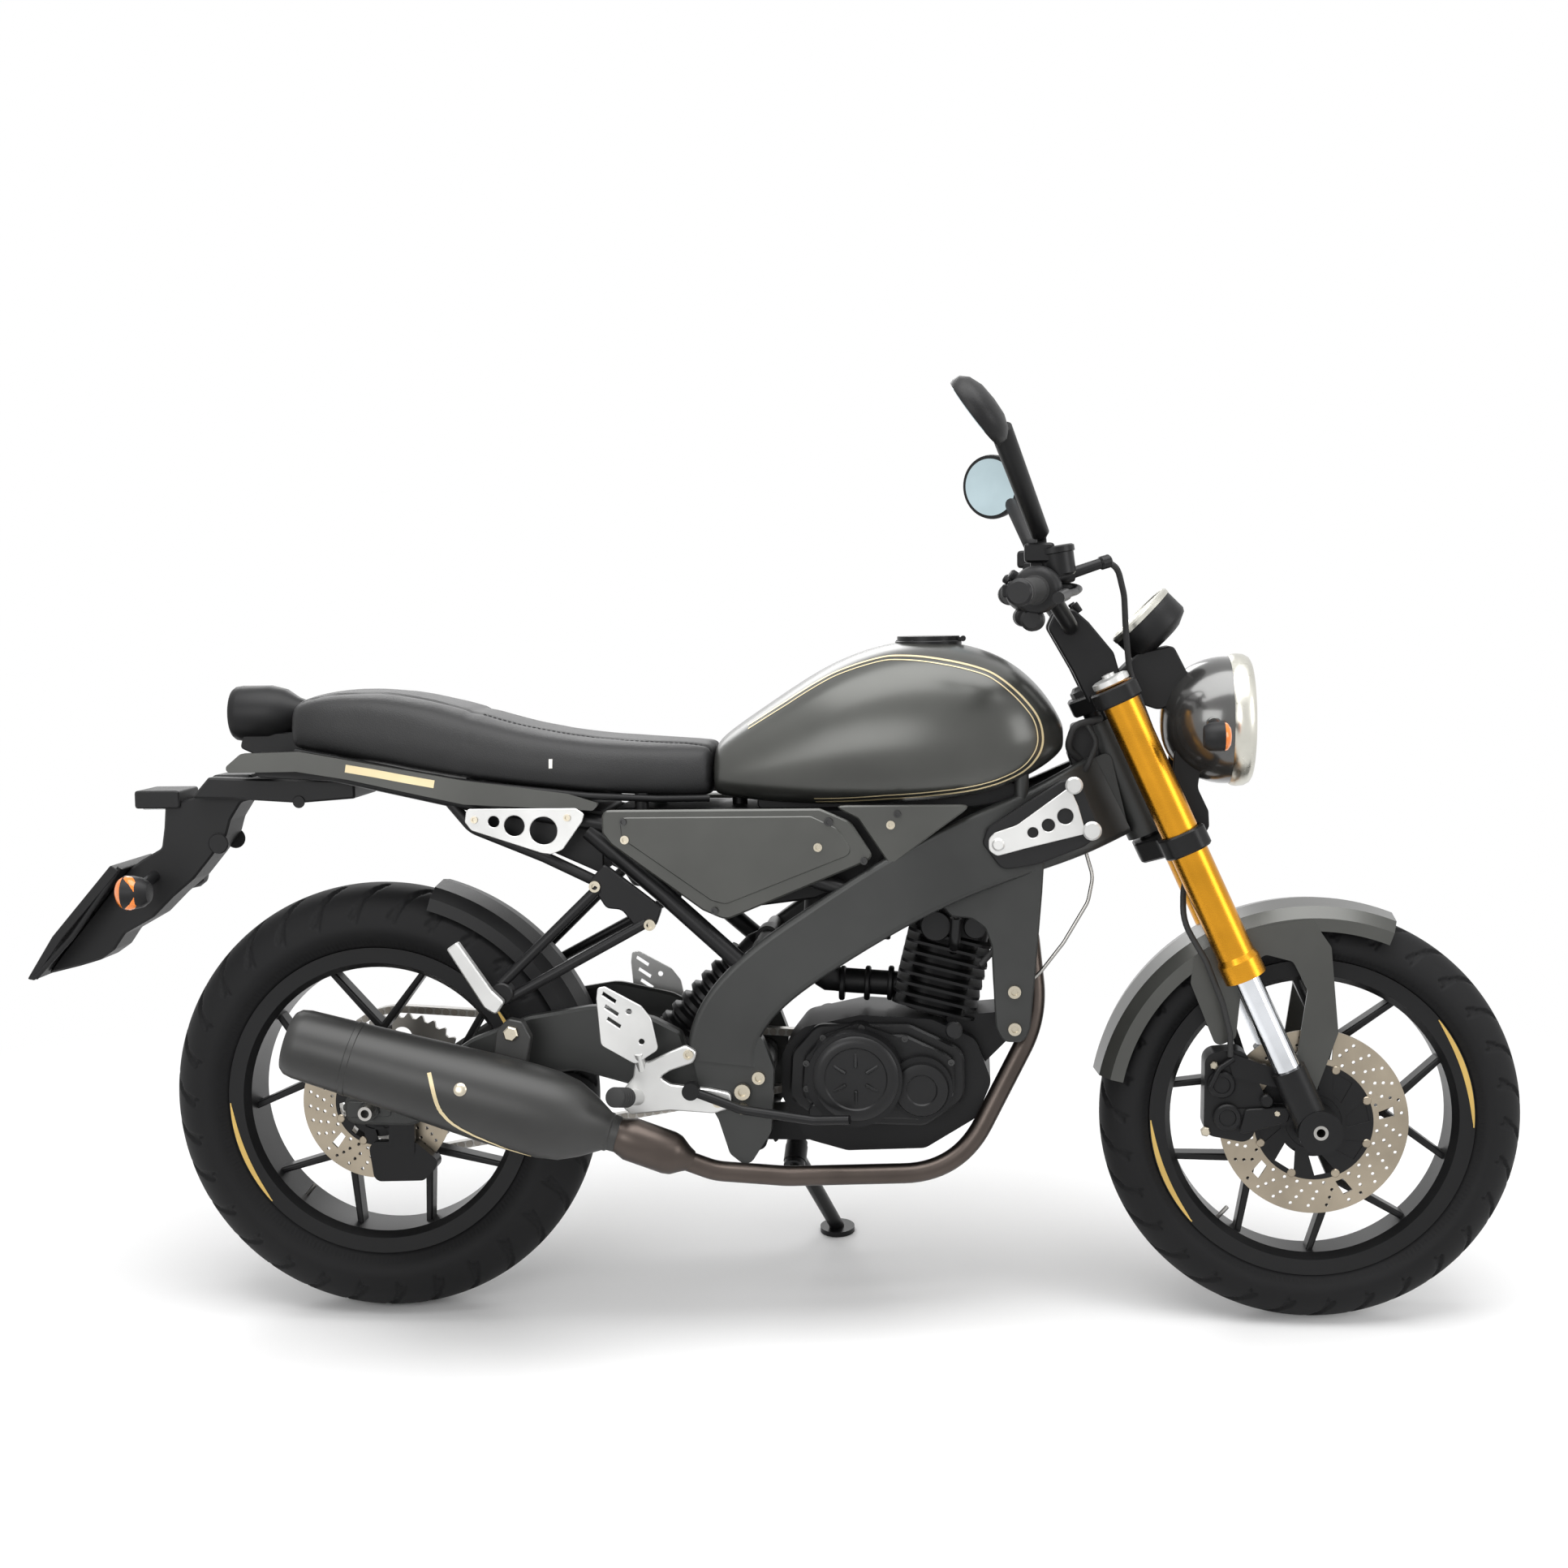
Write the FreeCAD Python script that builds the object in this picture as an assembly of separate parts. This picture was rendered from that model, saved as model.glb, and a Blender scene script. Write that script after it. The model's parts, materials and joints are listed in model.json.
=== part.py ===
import FreeCAD, Part
import os
from math import sin, cos, tan, radians

# Cafe racer motorcycle, upright frame of the machine itself: X forward, Y to its left,
# Z up, the rear axle over X = 0. Every piece is drawn upright and leaned at the end.
# Millimetres and degrees.

# Wheels and stance
wheelbase = 1330.0
front_tyre_radius = 293.0
front_tyre_width = 110.0
rear_tyre_radius = 314.0
rear_tyre_width = 140.0
tyre_wall = 9.0
rim_radius = 216.0
rim_wall = 6.0
rim_flange = 9.0
front_rim_width = 76.0
rear_rim_width = 100.0
rim_depth = 21.0
spoke_count = 5
spoke_fork_radius = 106.0
spoke_spread = 21.0
spoke_width = 9.0
spoke_depth = 30.0
front_spoke_turn = 3.0
rear_spoke_turn = 20.0
hub_radius = 33.0
front_hub_half = 44.0
rear_hub_half = 50.0
lean = 8.0

# Fits and clearances
seat_gap = 0.3
running_gap = 0.3
moving_gap = 5.0

# Brakes and drive
front_disc_radius = 130.0
rear_disc_radius = 110.0
disc_thickness = 4.0
disc_inner_radius = 38.0
front_disc_plane = 52.0
rear_disc_plane = 57.0
sprocket_radius = 97.0
sprocket_teeth = 32
sprocket_thickness = 6.0
chain_plane = 84.0
chain_width = 16.0
chain_height = 11.0
drive_sprocket_radius = 30.0
drive_sprocket_x = 632.0
drive_sprocket_z = 352.0

# Fork and steering
rake = 24.0
fork_offset = 36.0
axle_lead = 4.0
fork_half_spacing = 97.0
fork_outer_radius = 26.0
fork_collar_radius = 29.5
fork_slider_radius = 18.5
fork_outer_low = 233.0
fork_outer_high = 672.0
clamp_high = 93.0
clamp_low = -27.0
clamp_radius = 24.0
clamp_half_width = 25.0
lower_yoke_level = 438.0
lower_yoke_thickness = 30.0
upper_yoke_level = 645.0
upper_yoke_thickness = 22.0
stem_radius = 14.0
head_tube_radius = 30.0
front_axle_radius = 10.0
rear_axle_radius = 10.0
axle_bore_radius = 6.0

# Handlebar and mirrors
bar_radius = 11.0
bar_half_width = 402.0
grip_radius = 17.0
grip_length = 122.0
bar_clamp_x = 1046.0
bar_clamp_z = 948.0
bar_end_x = 919.0
bar_end_z = 1033.0
mirror_radius = 50.0
mirror_depth = 16.0

# Lamps and meter
headlight_radius = 89.0
headlight_x = 1236.0
headlight_z = 852.0
meter_radius = 56.0
meter_depth = 42.0
tail_lamp_radius = 42.0

# Frame
spar_width = 26.0
pivot_x = 540.0
pivot_z = 352.0
pivot_plate_inner = 112.0
pivot_plate_thickness = 22.0
pivot_tube_radius = 22.0
pivot_bolt_radius = 9.0

# Exhaust
pipe_radius = 15.0
muffler_radius = 50.0

# Ranges of the joints
steering_lock = 34.0
stand_fold = 95.0
cap_opening = 95.0

# Side stand
stand_pivot_x = 590.0
stand_pivot_y = 118.0
stand_pivot_z = 196.0
stand_foot_x = 642.0
stand_foot_y = 262.0
stand_radius = 11.0
foot_radius = 27.0
foot_thickness = 8.0


# Shapes that repeat

def vec(x, y, z):
    return FreeCAD.Vector(x, y, z)


def rod(start, end, radius):
    way = end - start
    return Part.makeCylinder(radius, way.Length, start, way)


def pipe(start, end, radius, bore):
    way = end - start
    over = way.normalize() * 1.0
    return rod(start, end, radius).cut(rod(start - over, end + over, bore))


def cone(start, end, first, last):
    way = end - start
    return Part.makeCone(first, last, way.Length, start, way)


def block(low, high):
    size = high - low
    return Part.makeBox(size.x, size.y, size.z, low)


def rounded(points, radii, closed=True):
    count = len(points)
    if not isinstance(radii, (list, tuple)):
        radii = [radii] * count
    corners = []
    for index, corner in enumerate(points):
        if not closed and index in (0, count - 1):
            corners.append((corner, corner, None))
            continue
        back = points[index - 1] - corner
        ahead = points[(index + 1) % count] - corner
        half = back.getAngle(ahead) / 2
        reach = min(radii[index] / tan(half), 0.49 * back.Length, 0.49 * ahead.Length)
        back.normalize()
        ahead.normalize()
        radius = reach * tan(half)
        middle = back + ahead
        if radius < 0.05 or middle.Length < 1e-6:
            corners.append((corner, corner, None))
            continue
        middle.normalize()
        crown = corner + middle * (radius / sin(half) - radius)
        corners.append((corner + back * reach, corner + ahead * reach, crown))
    edges = []
    for index, (start, end, crown) in enumerate(corners):
        if crown is not None:
            edges.append(Part.Arc(start, crown, end).toShape())
        if closed or index < count - 1:
            follow = corners[(index + 1) % count][0]
            if (follow - end).Length > 1e-4:
                edges.append(Part.LineSegment(end, follow).toShape())
    return Part.Wire(edges)


def side_wire(points, radii, y):
    return rounded([vec(x, y, z) for x, z in points], radii)


def plate(points, radii, low, high):
    face = Part.Face(side_wire(points, radii, low))
    return face.extrude(vec(0, high - low, 0))


def bent_tube(points, bend, radius):
    path = rounded(points, bend, closed=False)
    start = points[0]
    circle = Part.Wire([Part.makeCircle(radius, start, points[1] - start)])
    return path.makePipeShell([circle], True, False)


def turned(profile, centre):
    points = [vec(0, y, r) for r, y in profile]
    face = Part.Face(Part.makePolygon(points + [points[0]]))
    ring = face.revolve(vec(0, 0, 0), vec(0, 1, 0), 360)
    ring.translate(centre)
    return ring


def lathe(profile, start, way):
    axis = FreeCAD.Vector(way)
    axis.normalize()
    points = [vec(r, 0, a) for a, r in profile]
    face = Part.Face(Part.makePolygon(points + [points[0]]))
    body = face.revolve(vec(0, 0, 0), vec(0, 0, 1), 360)
    body.Placement = FreeCAD.Placement(start, FreeCAD.Rotation(vec(0, 0, 1), axis))
    return body


def other_side(shape):
    return shape.mirror(vec(0, 0, 0), vec(0, 1, 0))


def both(shape):
    return [shape, other_side(shape)]


def joined(shapes):
    first = shapes[0]
    return first.fuse(shapes[1:]).removeSplitter()


def loft(wires, ruled=False):
    return Part.makeLoft(wires, True, ruled)


# The fork's own line: levels run up it from the axle, the steering axis lies behind it

front_axle_point = vec(wheelbase, 0, front_tyre_radius)
rear_axle_point = vec(0, 0, rear_tyre_radius)
fork_up = vec(-sin(radians(rake)), 0, cos(radians(rake)))
fork_ahead = vec(cos(radians(rake)), 0, sin(radians(rake)))


def on_fork(level, y=0.0, ahead=0.0):
    start = front_axle_point - fork_ahead * axle_lead
    return start + fork_up * level + fork_ahead * ahead + vec(0, y, 0)


def on_stem(level, y=0.0, ahead=0.0):
    return on_fork(level, y, ahead - fork_offset)


# Wheels

def tyre(centre, radius, width, rim_width):
    crown = width / 2
    middle = radius - crown
    bead = rim_width / 2 - rim_wall - seat_gap
    bore = rim_radius + seat_gap
    side = radians(78)

    lip = rim_radius + rim_flange + seat_gap
    skirt = rim_width / 2

    def arc_edges(shrink, foot, foot_level, bulge):
        r = crown - shrink
        low = vec(0, -r * sin(side), middle + r * cos(side))
        high = vec(0, r * sin(side), middle + r * cos(side))
        belly = low.z * 0.55 + foot_level * 0.45
        crown_arc = Part.Arc(low, vec(0, 0, middle + r), high)
        right = Part.Arc(high, vec(0, r * bulge, belly), vec(0, foot, foot_level))
        left = Part.Arc(vec(0, -foot, foot_level), vec(0, -r * bulge, belly), low)
        return [left.toShape(), crown_arc.toShape(), right.toShape()]

    toe = bead - 1.4 * tyre_wall
    outer = arc_edges(0, skirt, lip, 0.97)
    inner = arc_edges(tyre_wall, toe, bore, 0.80)
    feet = []
    for way in (-1, 1):
        steps = [vec(0, way * skirt, lip), vec(0, way * bead, lip), vec(0, way * bead, bore),
                 vec(0, way * toe, bore)]
        for first, last in zip(steps, steps[1:]):
            feet.append(Part.LineSegment(first, last).toShape())
    edges = Part.__sortEdges__(outer + inner + feet)
    ring = Part.Face(Part.Wire(edges)).revolve(vec(0, 0, 0), vec(0, 1, 0), 360)
    ring.translate(centre)
    return ring


def wheel(centre, rim_width, hub_half, axle_radius, turn):
    half = rim_width / 2
    seat = rim_radius
    lip = rim_radius + rim_flange
    well = rim_radius - 12
    inner = rim_radius - rim_depth
    ring = turned([
        (lip, -half), (lip, -half + rim_wall), (seat, -half + rim_wall),
        (seat, -half + 20), (well, -half + 26), (well, half - 26), (seat, half - 20),
        (seat, half - rim_wall), (lip, half - rim_wall), (lip, half),
        (inner + 8, half), (inner, half - 12), (inner, -half + 12), (inner + 8, -half),
    ], centre)
    hub = rod(centre - vec(0, hub_half, 0), centre + vec(0, hub_half, 0), hub_radius)
    pieces = [ring, hub]
    for index in range(spoke_count):
        middle = turn + index * 360.0 / spoke_count
        stem = spoke(centre, middle, hub_radius - 6, middle, spoke_fork_radius, 2.2, 1.6)
        pieces.append(stem)
        for way in (-1, 1):
            side = middle + way * spoke_spread
            arm = spoke(centre, middle, spoke_fork_radius - 6, side, inner + 4, 1.25, 1.0)
            pieces.append(arm)
    body = joined(pieces)
    over = vec(0, hub_half + 1, 0)
    return body.cut(rod(centre - over, centre + over, axle_radius + running_gap))


def spoke(centre, first_angle, first_radius, last_angle, last_radius, first_share, last_share):
    def at(angle, radius):
        turn = radians(angle)
        return vec(radius * cos(turn), 0, radius * sin(turn))

    start = at(first_angle, first_radius)
    end = at(last_angle, last_radius)
    way = end - start
    way.normalize()
    across = vec(-way.z, 0, way.x)
    wires = []
    for point, share in ((start, first_share), (end, last_share)):
        wide = across * (spoke_width / 2 * share)
        deep = vec(0, spoke_depth / 2, 0)
        corners = [point - wide - deep, point + wide - deep, point + wide + deep, point - wide + deep]
        wires.append(rounded([corner + centre for corner in corners], 3.0))
    return loft(wires, True)


def brake_disc(centre, radius, plane):
    body = rod(centre - vec(0, plane + disc_thickness, 0), centre - vec(0, plane, 0), radius)
    over = vec(0, 1, 0)
    low = centre - vec(0, plane + disc_thickness, 0) - over
    high = centre - vec(0, plane, 0) + over
    body = body.cut(rod(low, high, disc_inner_radius))
    windows = []
    for index in range(5):
        turn = radians(72 * index + 20)
        slot = vec(cos(turn), 0, sin(turn)) * (radius * 0.52)
        windows.append(rod(low + slot, high + slot, radius * 0.13))
    return body.cut(windows)


front_tyre = tyre(front_axle_point, front_tyre_radius, front_tyre_width, front_rim_width)
rear_tyre = tyre(rear_axle_point, rear_tyre_radius, rear_tyre_width, rear_rim_width)
front_rim = wheel(front_axle_point, front_rim_width, front_hub_half, front_axle_radius,
                  front_spoke_turn)
rear_rim = wheel(rear_axle_point, rear_rim_width, rear_hub_half, rear_axle_radius,
                 rear_spoke_turn)
disc_seat_radius = disc_inner_radius + 12
front_disc = brake_disc(front_axle_point, front_disc_radius, front_disc_plane)
rear_disc = brake_disc(rear_axle_point, rear_disc_radius, rear_disc_plane)


def disc_boss(centre, plane, hub_half, axle_radius):
    low = centre - vec(0, plane, 0)
    high = centre - vec(0, hub_half - 8, 0)
    boss = rod(low, high, disc_seat_radius)
    nose = rod(low - vec(0, disc_thickness, 0), low, disc_inner_radius - seat_gap)
    over = vec(0, 1, 0)
    body = joined([boss, nose])
    return body.cut(rod(low - vec(0, disc_thickness, 0) - over, high + over, axle_radius + running_gap))


front_rim = joined([front_rim, disc_boss(front_axle_point, front_disc_plane, front_hub_half,
                                         front_axle_radius)])
rear_rim = joined([rear_rim, disc_boss(rear_axle_point, rear_disc_plane, rear_hub_half,
                                       rear_axle_radius)])

# Rear sprocket on the left of the hub

sprocket_low = chain_plane - sprocket_thickness / 2
tooth_height = 7.0
sprocket_points = []
for index in range(sprocket_teeth):
    for share, r in ((0.15, sprocket_radius), (0.42, sprocket_radius + tooth_height),
                     (0.58, sprocket_radius + tooth_height), (0.85, sprocket_radius)):
        turn = radians((index + share) * 360 / sprocket_teeth)
        sprocket_points.append((r * cos(turn), rear_axle_point.z + r * sin(turn)))
sprocket_outline = Part.makePolygon(
    [vec(x, sprocket_low, z) for x, z in sprocket_points + sprocket_points[:1]])
rear_sprocket = Part.Face(sprocket_outline).extrude(vec(0, sprocket_thickness, 0))
carrier = rod(vec(0, rear_hub_half + seat_gap, rear_axle_point.z), vec(0, sprocket_low + 1, rear_axle_point.z), 44)
rear_sprocket = joined([rear_sprocket, carrier])
sprocket_windows = []
for index in range(6):
    turn = radians(index * 60 + 30)
    offset = vec(cos(turn), 0, sin(turn)) * 68
    base = rear_axle_point + vec(0, sprocket_low - 1, 0) + offset
    sprocket_windows.append(rod(base, base + vec(0, sprocket_thickness + 2, 0), 15))
sprocket_windows.append(rod(rear_axle_point, rear_axle_point + vec(0, 150, 0),
                            rear_axle_radius + running_gap))
rear_sprocket = rear_sprocket.cut(sprocket_windows)

# Chain, one fixed loop around both sprockets, clear of the teeth

chain_inner_rear = sprocket_radius + tooth_height + 1.5
chain_inner_front = drive_sprocket_radius + seat_gap
drive_point = vec(drive_sprocket_x, 0, drive_sprocket_z)
chain_line = drive_point - rear_axle_point


def belt_outline(extra):
    first = chain_inner_rear + extra
    last = chain_inner_front + extra
    along = FreeCAD.Vector(chain_line)
    along.normalize()
    up = vec(-along.z, 0, along.x)
    ease = (first - last) / chain_line.Length
    high_way = up * ((1 - ease ** 2) ** 0.5) + along * ease
    low_way = up * -((1 - ease ** 2) ** 0.5) + along * ease
    shift = vec(0, chain_plane - chain_width / 2, 0)
    a = rear_axle_point + high_way * first + shift
    b = drive_point + high_way * last + shift
    c = drive_point + low_way * last + shift
    d = rear_axle_point + low_way * first + shift
    nose = drive_point + along * last + shift
    tail = rear_axle_point - along * first + shift
    return Part.Wire([
        Part.LineSegment(a, b).toShape(), Part.Arc(b, nose, c).toShape(),
        Part.LineSegment(c, d).toShape(), Part.Arc(d, tail, a).toShape(),
    ])


chain_outer_face = Part.Face(belt_outline(chain_height))
chain_inner_face = Part.Face(belt_outline(0))
chain = chain_outer_face.cut(chain_inner_face).extrude(vec(0, chain_width, 0))

# Axles

front_axle_half = fork_half_spacing + clamp_half_width
rear_axle_half = 128.0
clamp_inner = fork_half_spacing - clamp_half_width
arm_inner_right = 84.0
arm_inner_left = chain_plane + chain_width / 2 + 3.0
arm_thickness = 16.0


def axle(centre, half, radius, right_spacer, left_spacer):
    side = vec(0, 1, 0)
    bodies = [rod(centre - side * half, centre + side * half, radius)]
    for low, high in (right_spacer, left_spacer):
        bodies.append(rod(centre + side * low, centre + side * high, radius + 5))
    body = joined(bodies)
    return body.cut(rod(centre - side * (half + 1), centre + side * (half + 1), axle_bore_radius))


front_axle = axle(front_axle_point, front_axle_half, front_axle_radius,
                  (seat_gap - clamp_inner, -front_disc_plane - disc_thickness - running_gap),
                  (front_hub_half + running_gap, clamp_inner - seat_gap))
rear_axle = axle(rear_axle_point, rear_axle_half, rear_axle_radius,
                 (seat_gap - arm_inner_right, -rear_disc_plane - disc_thickness - running_gap),
                 (chain_plane + sprocket_thickness / 2 + running_gap, arm_inner_left - seat_gap))

# Fork legs: gold outer tube, chrome slider, axle clamp

def fork_leg(y):
    low = on_fork(fork_outer_low, y)
    outer = rod(low, on_fork(fork_outer_high, y), fork_outer_radius)
    collar = rod(low, on_fork(fork_outer_low + 26, y), fork_collar_radius)
    collar_top = cone(on_fork(fork_outer_low + 26, y), on_fork(fork_outer_low + 34, y),
                      fork_collar_radius, fork_outer_radius)
    sleeve = joined([outer, collar, collar_top])
    bore_end = on_fork(fork_outer_low + 60, y)
    sleeve = sleeve.cut(rod(on_fork(fork_outer_low - 1, y), bore_end, fork_slider_radius + seat_gap))
    slider = rod(on_fork(clamp_high, y), on_fork(fork_outer_low + 60 - seat_gap, y),
                 fork_slider_radius)
    clamp_top = on_fork(clamp_high, y)
    clamp = rod(on_fork(clamp_low + 20, y), clamp_top, clamp_radius)
    axle_y = vec(0, y, 0)
    eye_side = vec(0, clamp_half_width, 0)
    eye = rod(front_axle_point + axle_y - eye_side, front_axle_point + axle_y + eye_side, 30)
    clamp = joined([clamp, eye])
    clamp = clamp.cut(rod(front_axle_point - vec(0, 200, 0), front_axle_point + vec(0, 200, 0),
                          front_axle_radius + seat_gap))
    return sleeve, slider, clamp


fork_right = fork_leg(-fork_half_spacing)
fork_left = fork_leg(fork_half_spacing)
fork_outers = [fork_right[0], fork_left[0]]
fork_sliders = [fork_right[1], fork_left[1]]
axle_clamps = [fork_right[2], fork_left[2]]

# Yokes on the steering stem

def yoke(level, thickness, ear, waist):
    low = level - thickness / 2
    high = level + thickness / 2
    centre = rod(on_stem(low), on_stem(high), waist)
    bodies = [centre]
    for y in (-fork_half_spacing, fork_half_spacing):
        bodies.append(rod(on_fork(low, y), on_fork(high, y), ear))
    span = Part.makeBox(2 * fork_half_spacing, 44, thickness)
    span.translate(vec(-fork_half_spacing, -22, 0))
    turn = FreeCAD.Rotation(vec(0, 1, 0), fork_ahead, fork_up, "YZX")
    span.Placement = FreeCAD.Placement(on_fork(low, 0, -fork_offset / 2), turn).multiply(span.Placement)
    bodies.append(span)
    body = joined(bodies)
    bores = []
    for y in (-fork_half_spacing, fork_half_spacing):
        bores.append(rod(on_fork(low - 1, y), on_fork(high + 1, y), fork_outer_radius + seat_gap))
    return body.cut(bores)


head_low = lower_yoke_level + lower_yoke_thickness / 2 + moving_gap
head_high = upper_yoke_level - upper_yoke_thickness / 2 - moving_gap
stem = rod(on_stem(lower_yoke_level), on_stem(upper_yoke_level), stem_radius)
yokes = joined([
    yoke(lower_yoke_level, lower_yoke_thickness, 35, 28),
    yoke(upper_yoke_level, upper_yoke_thickness, 32, 25),
    stem,
])

# Handlebar on two risers

riser_y = 48.0
bar_clamp = vec(bar_clamp_x, 0, bar_clamp_z)
riser_foot = on_stem(upper_yoke_level + upper_yoke_thickness / 2 + seat_gap)
bar_points = [
    vec(bar_end_x, -bar_half_width, bar_end_z),
    vec(bar_end_x + 42, -bar_half_width + 240, bar_end_z + 6),
    vec(bar_clamp_x, -92, bar_clamp_z),
    vec(bar_clamp_x, 92, bar_clamp_z),
    vec(bar_end_x + 42, bar_half_width - 240, bar_end_z + 6),
    vec(bar_end_x, bar_half_width, bar_end_z),
]
bar = bent_tube(bar_points, 34.0, bar_radius)
risers = []
for y in (-riser_y, riser_y):
    foot = riser_foot + vec(0, y, 0)
    risers.append(rod(foot, bar_clamp + vec(0, y, 0), 15))
    risers.append(rod(bar_clamp + vec(0, y - 16, 0), bar_clamp + vec(0, y + 16, 0), 19))
grip_start = FreeCAD.Vector(bar_points[0])
grip_way = bar_points[1] - bar_points[0]
grip_way.normalize()
grip_right = pipe(grip_start + grip_way * 12, grip_start + grip_way * (12 + grip_length),
                  grip_radius, bar_radius + seat_gap)
end_weight = rod(grip_start - grip_way * 2, grip_start + grip_way * 11, grip_radius)
grips = both(grip_right)
handlebar = joined([bar] + risers + both(end_weight)).cut(yokes)

switch_start = grip_start + grip_way * (14 + grip_length)
switch_right = pipe(switch_start, switch_start + grip_way * 42, 23, bar_radius + seat_gap)
switchgear = both(switch_right)

lever_mount = switch_start + grip_way * 60
lever_clamp = pipe(lever_mount - grip_way * 12, lever_mount + grip_way * 12, 17,
                   bar_radius + seat_gap)
reservoir_low = lever_mount + vec(22, 0, 18)
reservoir = rod(reservoir_low, reservoir_low + vec(-6, 0, 38), 24)
reservoir_arm = rod(lever_mount + vec(13, 0, 8), reservoir_low + vec(0, 0, 6), 9)
lever_blade = bent_tube([
    lever_mount + vec(14, 0, 4), lever_mount + vec(52, 0, -2),
    lever_mount + vec(50, 0, -4) - grip_way * 70, lever_mount + vec(40, 0, -8) - grip_way * 165,
], 20.0, 6.0)
lever_right = joined([lever_clamp, reservoir_arm, reservoir, lever_blade])
lever_plain = other_side(joined([lever_clamp, lever_blade]))
levers = [lever_right, lever_plain]

# Mirrors on stems from the lever clamps

def mirror(side, centre, glass_way):
    foot = vec(lever_mount.x, side * -lever_mount.y, lever_mount.z)
    axis = FreeCAD.Vector(glass_way)
    axis.normalize()
    shell = lathe([
        (0, 0), (0, mirror_radius), (mirror_depth * 0.45, mirror_radius),
        (mirror_depth, mirror_radius * 0.72), (mirror_depth + 4, 0),
    ], centre, axis * -1)
    rim = pipe(centre, centre + axis * 4, mirror_radius, mirror_radius - 3)
    shell = joined([shell, rim])
    glass = rod(centre + axis * seat_gap, centre + axis * 3, mirror_radius - 3 - seat_gap)
    base = foot + vec(0, 0, 14)
    knee = base + vec(4, 0, 42)
    to_foot = knee - centre
    to_foot = to_foot - axis * to_foot.dot(axis)
    to_foot.normalize()
    edge = centre + to_foot * (mirror_radius - 6) - axis * (mirror_depth * 0.4)
    stem_body = bent_tube([base, knee, edge], 14.0, 5.5)
    body = joined([shell, stem_body]).cut(glass)
    return body, glass


mirror_right = mirror(-1, vec(870, -334, 1258), vec(-0.79, 0.12, -0.58))
mirror_left = mirror(1, vec(894, 330, 1200), vec(-0.50, -0.84, -0.10))
mirrors = [mirror_right[0], mirror_left[0]]
mirror_glass = [mirror_right[1], mirror_left[1]]
for side, item in enumerate(mirrors):
    mirrors[side] = item.cut([levers[side], handlebar])

# Headlight bucket, rim and lens

lamp_face = vec(headlight_x, 0, headlight_z)
headlight = lathe([
    (0, 0), (0, headlight_radius), (20, headlight_radius), (52, headlight_radius * 0.82),
    (84, headlight_radius * 0.42), (88, 0),
], lamp_face, vec(-1, 0, 0))
headlight = headlight.cut(rod(lamp_face - vec(14, 0, 0), lamp_face + vec(1, 0, 0),
                              headlight_radius - 8))
headlight_rim = pipe(lamp_face + vec(seat_gap, 0, 0), lamp_face + vec(12, 0, 0),
                     headlight_radius + 1, headlight_radius - 9)
headlight_lens = lathe([
    (0, 0), (0, headlight_radius - 9 - seat_gap), (10, headlight_radius - 9 - seat_gap),
    (16, headlight_radius * 0.6), (19, headlight_radius * 0.25), (20, 0),
], lamp_face - vec(8, 0, 0), vec(1, 0, 0))
lamp_ears = []
for y in (-1, 1):
    start = vec(headlight_x - 34, y * (headlight_radius - 14), headlight_z)
    end = vec(headlight_x - 34, y * (headlight_radius + 9), headlight_z)
    lamp_ears.append(rod(start, end, 9))
headlight = joined([headlight] + lamp_ears)

# Meter drum facing the rider

meter_way = vec(-1, 0, 1)
meter_way.normalize()
meter_centre = vec(1112, 0, 984)
meter_back = meter_centre - meter_way * (meter_depth / 2)
meter = lathe([
    (0, 0), (0, meter_radius * 0.62), (10, meter_radius), (meter_depth, meter_radius),
    (meter_depth, meter_radius - 5), (meter_depth - 3, meter_radius - 5), (meter_depth - 3, 0),
], meter_back, meter_way)
meter_stay_foot = on_stem(upper_yoke_level + upper_yoke_thickness / 2 + seat_gap, 0, 18)
meter_stay = rod(meter_stay_foot, meter_back + meter_way * 4, 8)
meter = joined([meter, meter_stay]).cut(yokes)

# Front indicators on the headlight ears

def bulb(centre, radius, length):
    return lathe([
        (0, 0), (0, radius * 0.6), (length * 0.25, radius * 0.95), (length * 0.6, radius),
        (length, radius * 0.9), (length, 0),
    ], centre, vec(1, 0, 0))


front_indicators = []
for y in (-1, 1):
    centre = vec(1166, y * 150, 843)
    lamp = bulb(centre, 19, 34)
    stalk = rod(centre + vec(17, -y * 8, 0), centre + vec(17, -y * 26, 0), 6)
    front_indicators.append(joined([lamp, stalk]))

# Lamp brackets from the fork legs carry the headlight and the indicators

lamp_brackets = []
for y in (-1, 1):
    leg_y = y * fork_half_spacing
    band = pipe(on_fork(548, leg_y), on_fork(572, leg_y), fork_outer_radius + 5,
                fork_outer_radius + seat_gap)
    arm_start = on_fork(560, leg_y, fork_outer_radius + 2)
    ear = vec(headlight_x - 34, y * (headlight_radius + 9 + seat_gap), headlight_z)
    arm_plate = rod(arm_start, ear + vec(0, y * 5, 0), 6)
    pad = rod(ear, ear + vec(0, y * 10, 0), 13)
    tip = vec(1183, y * (150 - 26 - seat_gap), 843)
    twig = rod(tip - vec(0, y * 14, 0), tip, 8)
    link = rod(tip - vec(0, y * 8, 0), arm_start, 6)
    lamp_brackets.append(joined([band, arm_plate, pad, twig, link]))
for index in (0, 1):
    lamp_brackets[index] = lamp_brackets[index].cut([fork_outers[index], headlight])

# Front fender: a blade over the tyre with side stays to the fork

fender_wall = 3.0
stay_thickness = 4.0
fender_half = front_disc_plane + disc_thickness + moving_gap + stay_thickness


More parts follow.
